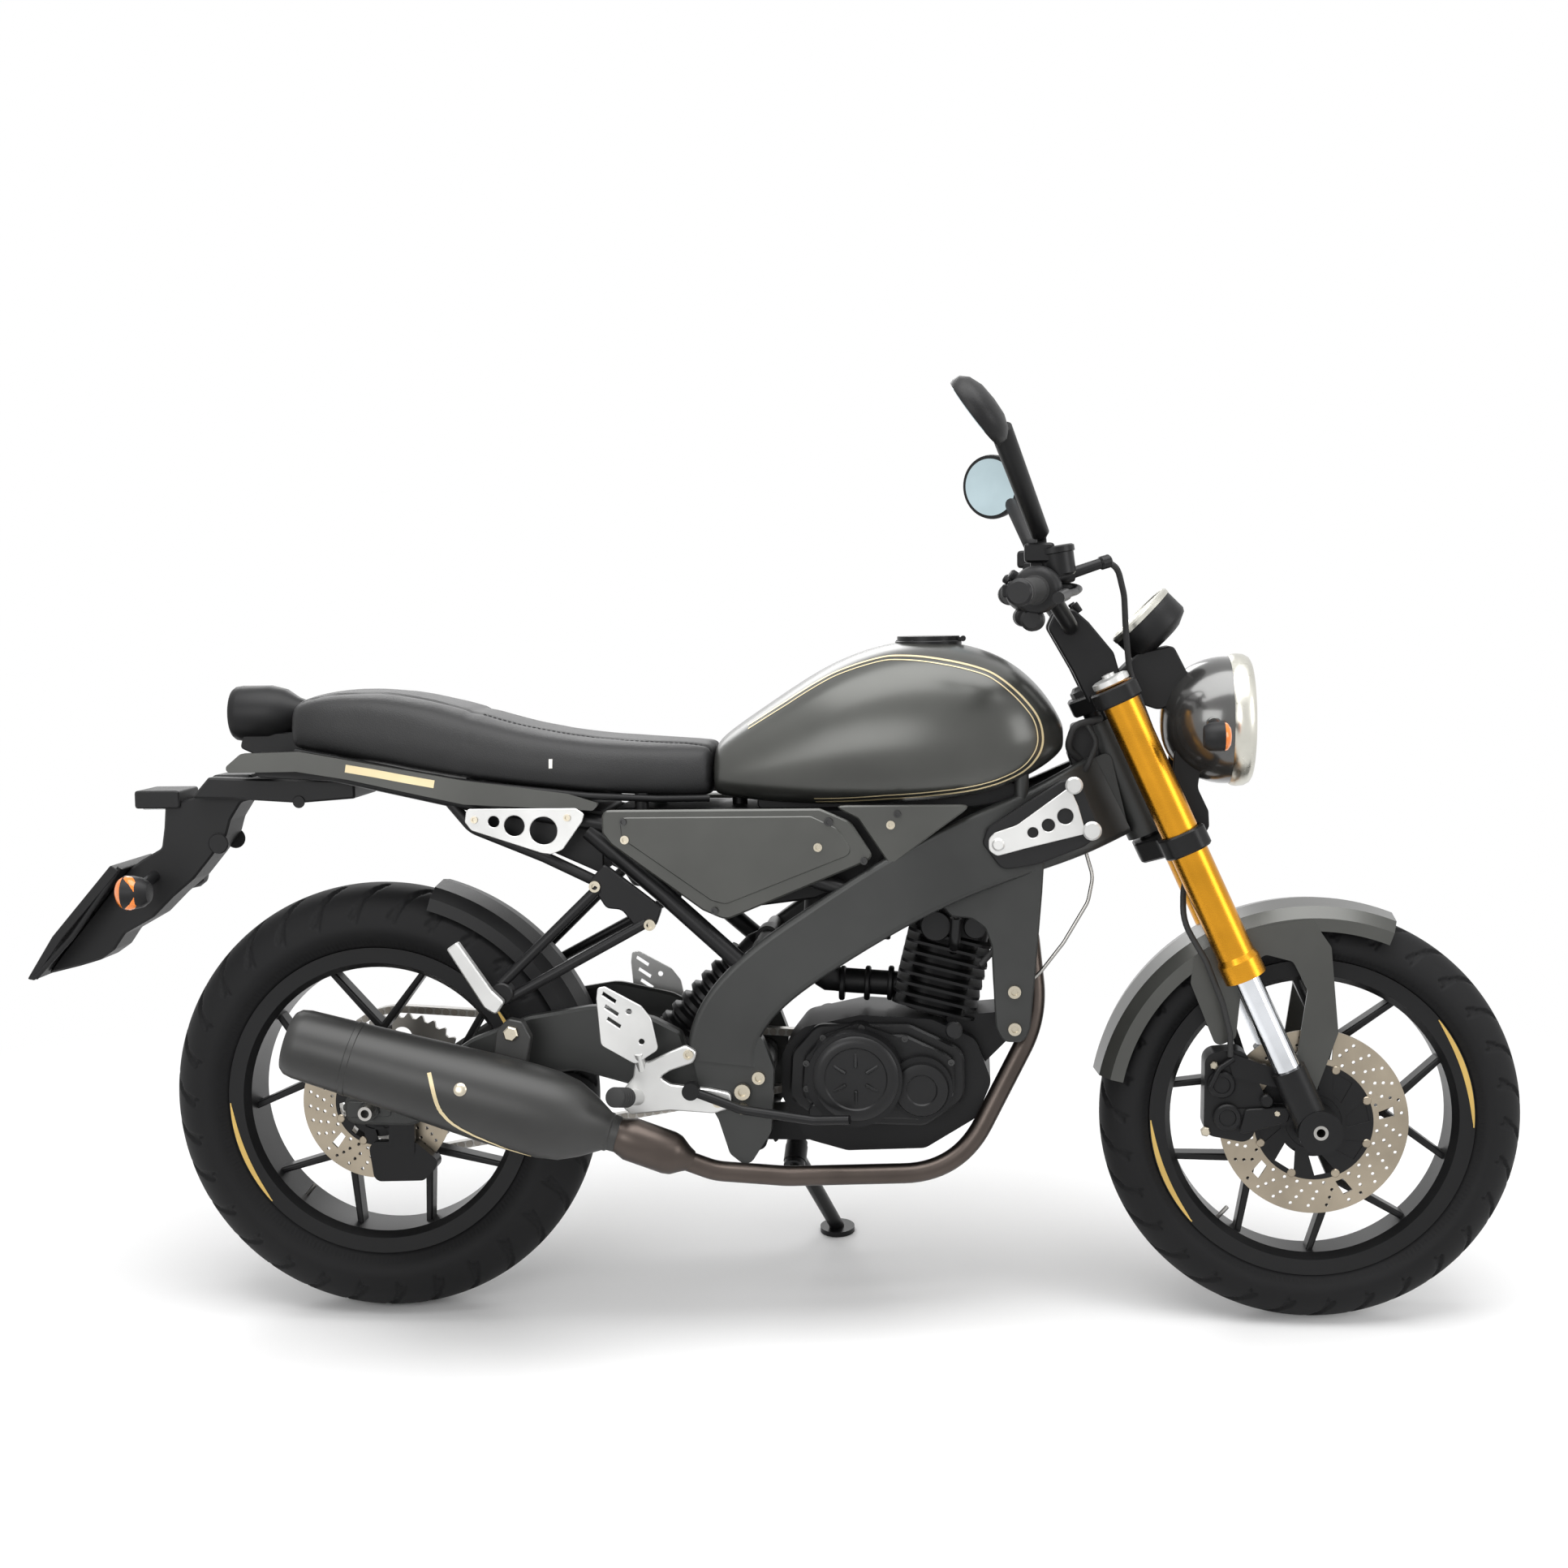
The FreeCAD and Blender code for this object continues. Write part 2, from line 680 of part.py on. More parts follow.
def fender_band(centre, radius, half, start, end):
    outer = [(half, radius - 24), (half - 2, radius - 6), (half * 0.72, radius + 9), (0, radius + 15)]
    outer = outer + [(-y, r) for y, r in reversed(outer[:-1])]
    inner = [(y - fender_wall * (1 if y > 0 else -1 if y < 0 else 0),
              r - (fender_wall if abs(y) < half - 3 else 0)) for y, r in reversed(outer)]
    turn = radians(start)
    out = vec(cos(turn), 0, sin(turn))
    points = [centre + out * r + vec(0, y, 0) for y, r in outer + inner]
    face = Part.Face(Part.makePolygon(points + points[:1]))
    return face.revolve(centre, vec(0, -1, 0), end - start)


front_fender_blade = fender_band(front_axle_point, front_tyre_radius, fender_half, 68, 168)
stay_points = [(1165, 528), (1240, 566), (1325, 580), (1352, 540), (1362, 420), (1330, 332),
               (1298, 338), (1320, 480), (1300, 520), (1262, 530), (1232, 506), (1222, 412),
               (1195, 400), (1160, 490)]
fender_stays = []
for y in (-1, 1):
    faces = sorted((y * fender_half, y * (fender_half - stay_thickness)))
    fender_stays.append(plate(stay_points, 10.0, faces[0], faces[1]))
    low = y * (fender_half - 2)
    for x, z, wall in ((1312, 350, 10), (1215, 522, fork_slider_radius + 3)):
        fender_stays.append(rod(vec(x, low, z), vec(x, y * (fork_half_spacing - wall), z), 8))
front_fender = joined([front_fender_blade] + fender_stays)
front_fender = front_fender.cut(axle_clamps + fork_outers + fork_sliders)

# Front caliper on the right fork leg

caliper_centre = vec(1208, 0, 338)
caliper_gap = 3.0
caliper_low = front_disc_plane + disc_thickness / 2 - 17
caliper_high = front_disc_plane + disc_thickness / 2 + 28
front_caliper = plate([(1178, 395), (1232, 400), (1262, 330), (1240, 268), (1176, 280)], 18.0,
                      -caliper_high, -caliper_low)
front_caliper = front_caliper.cut(rod(
    front_axle_point - vec(0, front_disc_plane + disc_thickness + caliper_gap, 0),
    front_axle_point - vec(0, front_disc_plane - caliper_gap, 0),
    front_disc_radius + caliper_gap))
caliper_lugs = [plate([(1206, 398), (1280, 372), (1290, 344), (1216, 362)], 6.0, -86, -74),
                plate([(1206, 318), (1300, 318), (1310, 296), (1212, 292)], 6.0, -86, -74)]
front_caliper = joined([front_caliper] + caliper_lugs).cut([axle_clamps[0], fork_sliders[0]])

# Frame: head tube, two boxed spars and the pivot plates

def spar_section(x, y, z, height, slope, width=spar_width):
    turn = radians(slope)
    up = vec(sin(turn), 0, cos(turn)) * (height / 2)
    out = vec(0, width / 2, 0)
    centre = vec(x, y, z)
    corners = [centre - up - out, centre - up + out, centre + up + out, centre + up - out]
    return rounded(corners, 8.0)


spar_stations = [
    (1056, 24, 752, 120, -26), (985, 66, 722, 116, -27), (896, 100, 690, 106, -27),
    (780, 121, 640, 98, -30), (650, 124, 562, 92, -34), (566, 123, 500, 92, -42),
    (520, 123, 440, 96, -62), (512, 123, 390, 96, -84),
]
spar_left = loft([spar_section(*station) for station in spar_stations])
pivot_plate = plate([(464, 430), (566, 430), (583, 383), (578, 293), (545, 242), (520, 262),
                     (505, 310), (478, 360)], 14.0,
                    pivot_plate_inner, pivot_plate_inner + pivot_plate_thickness)
head_tube = rod(on_stem(head_low), on_stem(head_high), head_tube_radius)
gusset = plate([(1078, 700), (1010, 676), (960, 700), (1000, 790), (1052, 812)], 10.0, -34, 34)
cross_tubes = []
for y in (-84, 84):
    cross_tubes.append(rod(vec(928, y, 720), vec(928, y, 794), 10))
shock_low = vec(408, 0, 388)
shock_high = vec(566, 0, 548)
for x, z, r in ((548, 446, 10), (shock_high.x, shock_high.z, 12)):
    cross_tubes.append(rod(vec(x, -pivot_plate_inner - 4, z), vec(x, pivot_plate_inner + 4, z), r))
frame = joined([spar_left, other_side(spar_left), pivot_plate, other_side(pivot_plate),
                head_tube, gusset] + cross_tubes)
frame = frame.cut([
    rod(on_stem(head_low - 30), on_stem(head_high + 30), stem_radius + running_gap),
    rod(vec(pivot_x, -200, pivot_z), vec(pivot_x, 200, pivot_z), pivot_bolt_radius + seat_gap),
])

# Engine hangers below the spars

hanger_inner = 92.0
hanger_plate = plate([(822, 612), (880, 690), (960, 700), (957, 646), (946, 511), (944, 450),
                      (934, 412), (905, 412), (889, 436), (889, 500), (872, 572)],
                     [10, 10, 10, 30, 30, 20, 14, 14, 14, 40, 30], hanger_inner, hanger_inner + 12)
engine_hangers = [item.cut(frame) for item in both(hanger_plate)]

# Engine: crankcase, covers, finned cylinder

case_half = 72.0
case_outline = [(588, 330), (622, 268), (680, 252), (790, 256), (862, 300), (884, 352),
                (862, 412), (800, 440), (700, 446), (618, 428), (590, 392)]
engine_case = plate(case_outline, 24.0, -case_half, case_half)
rear_lug = rod(vec(557, -pivot_plate_inner, 275), vec(557, pivot_plate_inner, 275), 13)
rear_lug_arm = plate([(550, 264), (640, 264), (660, 300), (552, 287)], 4.0, -60, 60)
front_lug = rod(vec(915, -hanger_inner, 436), vec(915, hanger_inner, 436), 13)
front_lug_arm = plate([(850, 350), (924, 424), (915, 448), (820, 440)], 4.0, -50, 50)
engine_case = joined([engine_case, rear_lug, rear_lug_arm, front_lug, front_lug_arm])

cover_start = case_half + seat_gap
clutch_cover = joined([
    rod(vec(695, -cover_start, 368), vec(695, -138, 368), 66),
    rod(vec(786, -cover_start, 352), vec(786, -116, 352), 44),
    plate([(640, 330), (800, 310), (815, 400), (700, 440), (640, 420)], 20.0, -104, -cover_start),
])
generator_cover = joined([
    rod(vec(760, cover_start, 352), vec(760, 124, 352), 62),
    plate([(600, 320), (760, 292), (800, 400), (640, 432), (600, 400)], 20.0, cover_start, 98),
])
chain_room = Part.Face(belt_outline(chain_height + 3)).extrude(vec(0, chain_width + 8, 0))
chain_room.translate(vec(0, -4, 0))
generator_cover = generator_cover.cut(chain_room)
engine_covers = [clutch_cover, generator_cover]
drive_side = vec(0, 1, 0)
drive_sprocket = joined([
    rod(drive_point + drive_side * cover_start, drive_point + drive_side * (chain_plane + 4), 14),
    rod(drive_point + drive_side * (chain_plane - 4), drive_point + drive_side * (chain_plane + 4),
        drive_sprocket_radius),
])

cylinder_foot = vec(800, 0, 441)
cylinder_way = vec(sin(radians(14)), 0, cos(radians(14)))
fin_count = 8
fin_pitch = 15.0
fin_thickness = 4.0


def square_layer(start, height, half_x, half_y, radius):
    across = vec(cylinder_way.z, 0, -cylinder_way.x)
    side = vec(0, 1, 0)
    centre = cylinder_foot + cylinder_way * start
    corners = [centre - across * half_x - side * half_y, centre + across * half_x - side * half_y,
               centre + across * half_x + side * half_y, centre - across * half_x + side * half_y]
    return Part.Face(rounded(corners, radius)).extrude(cylinder_way * height)


barrel_height = fin_pitch * fin_count
cylinder_layers = [square_layer(seat_gap, barrel_height, 42, 42, 30),
                   square_layer(barrel_height, 44, 52, 56, 16),
                   square_layer(barrel_height + 44, 14, 40, 50, 12)]
for index in range(fin_count):
    cylinder_layers.append(square_layer(8 + index * fin_pitch, fin_thickness, 60, 66, 18))
cylinder = joined(cylinder_layers).cut(engine_case)

# Exhaust: header down the front of the engine, along below it, muffler on the right

port = cylinder_foot + cylinder_way * (barrel_height - 14) + vec(58, 0, 0)
header_points = [
    port, port + vec(46, -10, -28), vec(972, -40, 450), vec(936, -60, 372), vec(872, -86, 290),
    vec(790, -104, 236), vec(690, -116, 226), vec(590, -128, 228), vec(470, -150, 240),
    vec(400, -168, 268),
]
exhaust_pipe = bent_tube(header_points, 60.0, pipe_radius)
muffler_front = vec(372, -176, 300)
muffler_back = vec(-84, -190, 432)
muffler_way = muffler_back - muffler_front
muffler_length = muffler_way.Length
muffler = lathe([
    (0, 0), (0, 22), (44, muffler_radius - 2), (70, muffler_radius), (muffler_length - 16, muffler_radius),
    (muffler_length, muffler_radius - 12), (muffler_length, 0),
], muffler_front, muffler_way)
muffler_axis = FreeCAD.Vector(muffler_way)
muffler_axis.normalize()
muffler = muffler.cut(rod(muffler_back - muffler_axis * 60, muffler_back + muffler_axis, 26))
exhaust_pipe = exhaust_pipe.fuse(rod(vec(400, -168, 268), muffler_front + muffler_axis * 4, pipe_radius + 2))
exhaust_pipe = exhaust_pipe.removeSplitter().cut(muffler)
exhaust_pipe = exhaust_pipe.cut(cylinder)

# Swingarm: two arms, pivot tube and bridge

def swing_side(inner):
    body = plate([(pivot_x + 26, 374), (pivot_x + 26, 330), (pivot_x - 20, 322), (300, 318),
                  (60, 290), (-38, 292), (-38, 336), (60, 340), (220, 372), (360, 392),
                  (480, 392)], 16.0, inner, inner + arm_thickness)
    return body


pivot_tube = rod(vec(pivot_x, -arm_inner_right - 2, pivot_z), vec(pivot_x, arm_inner_left + 2, pivot_z),
                 pivot_tube_radius)
bridge = plate([(372, 382), (438, 382), (438, 330), (372, 330)], 14.0, -arm_inner_right - 2,
               arm_inner_left + 2)
arm_right = other_side(swing_side(arm_inner_right))
arm_left = swing_side(arm_inner_left)
swingarm = joined([pivot_tube, bridge, arm_right, arm_left])
swingarm = swingarm.cut([
    rod(vec(pivot_x, -200, pivot_z), vec(pivot_x, 200, pivot_z), pivot_bolt_radius + seat_gap),
    rod(vec(0, -200, rear_axle_point.z), vec(0, 200, rear_axle_point.z), rear_axle_radius + seat_gap),
])
pivot_bolt_half = pivot_plate_inner + pivot_plate_thickness + 8
pivot_bolt = rod(vec(pivot_x, -pivot_bolt_half, pivot_z), vec(pivot_x, pivot_bolt_half, pivot_z),
                 pivot_bolt_radius)

# Shock absorber between the bridge and the frame

shock_way = shock_high - shock_low
shock_way.normalize()
coil_count = 7
shock_length = (shock_high - shock_low).Length
shock_profile = [(0, 0), (0, 14), (18, 14), (22, 30), (28, 30)]
coil_pitch = (shock_length - 80) / coil_count
for index in range(coil_count):
    start = 28 + index * coil_pitch
    shock_profile += [(start, 24), (start + coil_pitch * 0.25, 31),
                      (start + coil_pitch * 0.6, 31), (start + coil_pitch * 0.85, 24)]
shock_profile += [(shock_length - 52, 30), (shock_length - 44, 30), (shock_length - 42, 22),
                  (shock_length - 20, 22), (shock_length, 14), (shock_length, 0)]
shock = lathe(shock_profile, shock_low, shock_way)
shock_eye = rod(shock_low - vec(0, 20, 0), shock_low + vec(0, 20, 0), 14)
shock_top = rod(shock_high - vec(0, 20, 0), shock_high + vec(0, 20, 0), 17)
shock = joined([shock, shock_eye, shock_top]).cut([swingarm, frame])

# Rear caliper under the right arm

rear_caliper = plate([(-10, 262), (60, 262), (96, 232), (70, 206), (-2, 204)], 12.0, -82, -56)
caliper_carrier = plate([(20, 244), (58, 244), (60, 318), (44, 328), (24, 326)], 5.0,
                        seat_gap - arm_inner_right, seat_gap - arm_inner_right + 8)
rear_caliper = joined([rear_caliper, caliper_carrier])
rear_caliper = rear_caliper.cut(rod(
    rear_axle_point - vec(0, rear_disc_plane + disc_thickness + 3, 0),
    rear_axle_point - vec(0, rear_disc_plane - 3, 0), rear_disc_radius + 3))

# Subframe: two rails and two braces each side

rail_y = 96.0
rail_radius = 12.0
rail_points = [vec(-150, 70, 800), vec(-40, 86, 795), vec(160, rail_y, 752), vec(330, rail_y, 724),
               vec(480, 104, 700), vec(690, 119, 628)]
brace_points = [vec(325, rail_y, 712), vec(430, 108, 624), vec(551, 121, 517)]
rail = bent_tube(rail_points, 120.0, rail_radius)
brace = bent_tube(brace_points, 80.0, 13.0)
tail_loop = rod(vec(-150, -70, 800), vec(-150, 70, 800), rail_radius)
seat_bridge = rod(vec(160, -rail_y, 752), vec(160, rail_y, 752), 9)
tank_bridge = rod(vec(528, -105, 692), vec(528, 105, 692), 9)
rests = [rod(vec(528, 0, 692), vec(528, 0, 766), 11)]
for y in (-90, 90):
    rests.append(rod(vec(160, y, 752), vec(160, y, 788), 10))
    rests.append(rod(vec(400, y, 712), vec(400, y, 764), 10))
subframe = joined([rail, other_side(rail), brace, other_side(brace), tail_loop, seat_bridge,
                   tank_bridge] + rests)
subframe = subframe.cut(frame)

# Seat: one bench with a step, lofted along its length

def seat_section(x, half, low, high, crown=34.0):
    corners = [vec(x, -half * 0.92, low), vec(x, half * 0.92, low), vec(x, half, low + 0.45 * (high - low)),
               vec(x, half * 0.80, high - 2), vec(x, -half * 0.80, high - 2),
               vec(x, -half, low + 0.45 * (high - low))]
    return rounded(corners, [8, 8, 24, crown, crown, 24])


tank_back = 500.0
seat_stations = [(-88, 84, 824, 893), (-40, 100, 818, 908), (40, 110, 804, 905),
                 (152, 117, 784, 880), (221, 118, 776, 857), (328, 116, 764, 838),
                 (422, 102, 758, 833), (tank_back - seat_gap, 86, 756, 830)]
seat = loft([seat_section(*station) for station in seat_stations])
seat = seat.cut(subframe)

# Tank, lofted along its length

def tank_section(x, half, low, high):
    tall = high - low
    corners = [vec(x, -half * 0.72, low), vec(x, half * 0.72, low),
               vec(x, half, low + 0.34 * tall), vec(x, half * 0.86, low + 0.72 * tall),
               vec(x, half * 0.40, high), vec(x, -half * 0.40, high),
               vec(x, -half * 0.86, low + 0.72 * tall), vec(x, -half, low + 0.34 * tall)]
    return rounded(corners, [10, 10, 30, 40, 50, 50, 40, 30])


tank_stations = [(tank_back, 86, 760, 829), (548, 100, 752, 862), (600, 114, 748, 896),
                 (665, 130, 746, 936), (740, 142, 748, 961), (810, 146, 752, 964),
                 (880, 142, 760, 950), (930, 122, 780, 922), (964, 90, 800, 886),
                 (984, 56, 815, 852)]
tank = loft([tank_section(*station) for station in tank_stations])
tank = tank.cut([frame, subframe])

# Fuel cap hinged on the tank's top

cap_radius = 44.0
cap_centre = vec(800, 0, 962)
tank_neck = pipe(cap_centre - vec(0, 0, 6), cap_centre + vec(0, 0, 5), cap_radius + 3, 22)
tank = joined([tank, tank_neck])
tank = tank.cut(rod(cap_centre - vec(0, 0, 46), cap_centre + vec(0, 0, 20), 22))
cap_low = cap_centre.z + 5 + seat_gap
fuel_cap = rod(vec(800, 0, cap_low), vec(800, 0, cap_low + 8), cap_radius)
cap_hinge = vec(800 + cap_radius + 5, 0, cap_low + 4)
fuel_cap = joined([fuel_cap, rod(cap_hinge - vec(0, 12, 0), cap_hinge + vec(0, 12, 0), 4.0),
                   block(vec(cap_hinge.x - 12, -12, cap_low + 2), vec(cap_hinge.x, 12, cap_low + 6))])

# Side covers and the small panel in front of each

cover_low = 124.0
cover_high = 137.0
side_cover_plate = plate([(352, 744), (652, 744), (694, 726), (726, 676), (700, 664), (520, 590),
                          (486, 610)], [16, 8, 30, 10, 10, 24, 20], cover_low, cover_high)
panel_plate = plate([(668, 748), (862, 748), (812, 712), (748, 664), (704, 730)],
                    [6, 6, 8, 8, 8], cover_low, cover_high)
side_cover_solid = side_cover_plate.cut([frame, subframe])
side_covers = both(side_cover_solid) + both(panel_plate.cut([frame, tank, side_cover_solid]))

# Tail covers: strips below the seat

tail_strip = plate([(-197, 799), (-164, 826), (-80, 828), (30, 808), (150, 786), (300, 766),
                    (345, 752), (335, 742), (153, 752), (88, 766), (-11, 788), (-85, 800)],
                   [6, 10, 10, 20, 20, 6, 4, 4, 20, 20, 20, 10], 108, 119)
tail_strip = tail_strip.cut([seat, subframe, side_cover_solid])
tail_covers = joined([tail_strip, other_side(tail_strip),
                      plate([(-190, 802), (-166, 822), (-140, 822), (-140, 813), (-164, 802)], 2.0,
                            -109, 109)])
tail_covers = tail_covers.cut([seat, subframe])

# Bracket plates: a drilled one at the rear of the cover, one on the front of the spar

bracket_plane = 120.7
rear_bracket = plate([(160, 743), (322, 740), (320, 724), (284, 684), (262, 684), (160, 724)],
                     [5, 5, 8, 6, 8, 5], bracket_plane, bracket_plane + 4)
rear_bracket = rear_bracket.cut([
    rod(vec(200, 100, 728), vec(200, 150, 728), 7.5),
    rod(vec(231, 100, 723), vec(231, 150, 723), 13),
    rod(vec(272, 100, 714), vec(272, 150, 714), 19),
])
front_bracket = plate([(886, 704), (984, 746), (1000, 720), (994, 700), (894, 680)], 8.0,
                      bracket_plane, bracket_plane + 4)
cover_brackets = both(rear_bracket) + both(front_bracket)
pad_face = bracket_plane - seat_gap
front_pad = plate([(870, 676), (984, 758), (1006, 760), (1010, 700), (900, 656)], 12.0, 106, pad_face)
bracket_pads = both(front_pad.cut([frame, tank]))
for x, z in ((182, 738), (302, 730)):
    bracket_pads += both(rod(vec(x, 98, z), vec(x, pad_face, z), 7).cut([subframe, tail_strip]))

# Tail lamp

tail_lamp = lathe([
    (0, 0), (0, tail_lamp_radius), (64, tail_lamp_radius), (88, 26), (102, 26), (102, 0),
], vec(-212, 0, 868), vec(1, 0, 0))
lamp_foot = rod(vec(-150, 0, 816), vec(-150, 0, 834), 14)
tail_lamp = joined([tail_lamp, lamp_foot]).cut([seat, subframe, tail_covers])

# Plate hanger below the tail, with its lower flap

hanger_arm = plate([(-100, 786), (-215, 790), (-258, 762), (-330, 742), (-330, 700), (-345, 676),
                    (-380, 662), (-470, 558), (-514, 494), (-415, 522), (-300, 625), (-254, 664),
                    (-226, 700), (-214, 752), (-100, 770)],
                   [4, 10, 10, 8, 8, 10, 14, 20, 3, 20, 20, 20, 16, 10, 4], -34, 34)
flap = plate([(-378, 664), (-470, 560), (-514, 494), (-500, 494), (-456, 556), (-366, 656)],
             [3, 10, 2, 2, 10, 3], -76, 76)
plate_hanger = joined([hanger_arm, flap])
plate_hanger = plate_hanger.cut([subframe, tail_covers])

rear_indicators = []
for y in (-1, 1):
    centre = vec(-338, y * 112, 622)
    lamp = lathe([(0, 0), (0, 16), (8, 24), (24, 26), (40, 20), (46, 8), (46, 0)], centre, vec(1, 0, 0))
    stalk = rod(vec(-312, y * (34 + seat_gap), 648), vec(-312, y * 112, 622 + 6), 7)
    rear_indicators.append(joined([lamp, stalk]).cut(plate_hanger))

# Hugger over the front of the rear tyre, on the swingarm

hugger_stay = rod(vec(326, -arm_inner_right, 374), vec(326, arm_inner_left, 374), 7)
hugger = joined([fender_band(rear_axle_point, rear_tyre_radius + 2, rear_tyre_width / 2 - 8, 9, 74),
                 hugger_stay])

# Rider footrests with heel plates and the two foot levers

rest_low = pivot_plate_inner + pivot_plate_thickness + seat_gap


def footrest(y_sign):
    bracket = plate([(560, 385), (575, 330), (520, 310), (470, 338), (400, 350), (396, 372),
                     (470, 392)], 14.0, rest_low, rest_low + 12)
    heel = plate([(346, 503), (376, 503), (414, 470), (430, 421), (400, 402), (356, 429)],
                 [6, 6, 10, 8, 8, 10], rest_low + 14, rest_low + 19)
    heel = heel.cut([
        plate([(362, 484), (386, 474), (384, 466), (360, 476)], 2.0, rest_low + 10, rest_low + 25),
        plate([(366, 462), (392, 450), (390, 442), (364, 454)], 2.0, rest_low + 10, rest_low + 25),
    ])
    post = rod(vec(402, rest_low + 6, 362), vec(400, rest_low + 14, 420), 9)
    peg = rod(vec(396, rest_low + 6, 362), vec(396, rest_low + 96, 362), 11)
    body = joined([bracket, heel, post, peg])
    body = body.cut(rod(vec(pivot_x, 0, pivot_z), vec(pivot_x, 200, pivot_z), 14))
    if y_sign < 0:
        return other_side(body)
    return body


footrests = [footrest(1), footrest(-1)]
pedal_y = rest_low + 22
brake_pedal = bent_tube([vec(470, -pedal_y, 356), vec(540, -pedal_y, 330), vec(640, -pedal_y - 10, 318),
                         vec(690, -pedal_y - 22, 322)], 40.0, 6.5)
pedal_boss = rod(vec(470, -rest_low - 12 - seat_gap, 356), vec(470, -pedal_y - 8, 356), 12)
shift_lever = other_side(joined([brake_pedal, pedal_boss]))
foot_levers = [joined([brake_pedal, pedal_boss]), shift_lever]

# Passenger footrest hangers: a V of two tubes each side

def passenger_side():
    top_a = vec(366, 108, 677)
    top_b = vec(441, 116, 614)
    low = vec(212, 142, 494)
    first = rod(top_a, low, 7.5)
    second = rod(top_b, low - vec(2, 0, 10), 7.5)
    boss = rod(low + vec(0, -12, 0), low + vec(0, 12, 0), 16)
    peg = loft([rounded([low + vec(-8, 14, 0), low + vec(8, 14, 6), low + vec(8, 28, 6),
                         low + vec(-8, 28, 0)], 2.0),
                rounded([low + vec(-62, 24, 68), low + vec(-50, 24, 76), low + vec(-50, 40, 76),
                         low + vec(-62, 40, 68)], 2.0)], True)
    pin = rod(low + vec(0, 10, 0), low + vec(0, 24, 2), 7)
    body = joined([first, second, boss, pin, peg])
    return body.cut([frame, subframe])


passenger_left = passenger_side()
passenger_hangers = both(passenger_left)

# Side stand: leg and foot pad flat on the ground

ground_rise = tan(radians(lean))
stand_pivot = vec(stand_pivot_x, stand_pivot_y, stand_pivot_z)
ground_up = vec(0, -sin(radians(lean)), cos(radians(lean)))
tyre_sink = rear_tyre_width / 2 * (1 - cos(radians(lean)))
foot_flat = vec(stand_foot_x, stand_foot_y, stand_foot_y * ground_rise)
foot_flat = foot_flat - ground_up * tyre_sink
foot_top = foot_flat + ground_up * foot_thickness
foot_pad = rod(foot_flat, foot_top, foot_radius)
leg_way = foot_top - stand_pivot
leg = cone(stand_pivot, foot_top - ground_up * 2, stand_radius + 1, stand_radius)
stand_out = FreeCAD.Vector(leg_way)
stand_out.normalize()
folded_way = vec(-1, 0.10, -0.02)
folded_way.normalize()
stand_axis = stand_out.cross(folded_way)
stand_axis.normalize()
stand_eye_half = stand_radius + 2
stand_eye = rod(stand_pivot - stand_axis * stand_eye_half,
                stand_pivot + stand_axis * stand_eye_half, 17)
side_stand = joined([leg, foot_pad, stand_eye])
side_stand = side_stand.cut(rod(stand_pivot - stand_axis * 20, stand_pivot + stand_axis * 20,
                                7 + running_gap))
stand_pin = rod(stand_pivot - stand_axis * 24, stand_pivot + stand_axis * 24, 7)
bracket_seat = vec(548, pivot_plate_inner + 8, 262)
stand_arms = []
for way in (-1, 1):
    inner = stand_pivot + stand_axis * (way * (stand_eye_half + 1))
    outer = stand_pivot + stand_axis * (way * (stand_eye_half + 8))
    stand_arms.append(rod(inner, outer, 16))
    middle = (inner + outer) * 0.5 + stand_axis * (way * 3)
    stand_arms.append(rod(middle, bracket_seat + stand_axis * (way * 17), 6))
stand_room = rod(stand_pivot - stand_axis * (stand_eye_half + 1),
                 stand_pivot + stand_axis * (stand_eye_half + 1), 40)
stand_bracket = joined([joined(stand_arms).cut(stand_room), stand_pin]).cut(frame)


# Every piece leans on the side stand, the origin is under the middle of the whole

nodes = {
    "frame": [frame],
    "engine_hangers": engine_hangers,
    "engine_case": [engine_case],
    "engine_covers": engine_covers,
    "cylinder": [cylinder],
    "exhaust_pipe": [exhaust_pipe],
    "muffler": [muffler],
    "subframe": [subframe],
    "seat": [seat],
    "tank": [tank],
    "fuel_cap": [fuel_cap],
    "side_covers": side_covers,
    "tail_covers": [tail_covers],
    "cover_brackets": cover_brackets,
    "bracket_pads": bracket_pads,
    "tail_lamp": [tail_lamp],
    "plate_hanger": [plate_hanger],
    "rear_indicators": rear_indicators,
    "swingarm": [swingarm],
    "pivot_bolt": [pivot_bolt],
    "rear_axle": [rear_axle],
    "rear_caliper": [rear_caliper],
    "hugger": [hugger],
    "chain": [chain],
    "drive_sprocket": [drive_sprocket],
    "footrests": footrests,
    "foot_levers": foot_levers,
    "passenger_hangers": passenger_hangers,
    "yokes": [yokes],
    "handlebar": [handlebar],
    "grips": grips,
    "switchgear": switchgear,
    "levers": levers,
    "mirrors": mirrors,
    "mirror_glass": mirror_glass,
    "fork_outers": fork_outers,
    "fork_sliders": fork_sliders,
    "axle_clamps": axle_clamps,
    "front_axle": [front_axle],
    "headlight": [headlight],
    "headlight_rim": [headlight_rim],
    "headlight_lens": [headlight_lens],
    "lamp_brackets": lamp_brackets,
    "meter": [meter],
    "front_indicators": front_indicators,
    "front_fender": [front_fender],
    "front_caliper": [front_caliper],
    "front_tyre": [front_tyre],
    "front_rim": [front_rim],
    "front_disc": [front_disc],
    "rear_tyre": [rear_tyre],
    "rear_rim": [rear_rim],
    "rear_disc": [rear_disc],
    "rear_sprocket": [rear_sprocket],
    "side_stand": [side_stand],
    "stand_bracket": [stand_bracket],
    "shock": [shock],
}


def leaned(shape):
    copy = shape.copy()
    copy.rotate(vec(0, 0, 0), vec(1, 0, 0), -lean)
    return copy


shapes = {}
for name, solids in nodes.items():
    shapes[name] = Part.makeCompound([leaned(solid) for solid in solids])

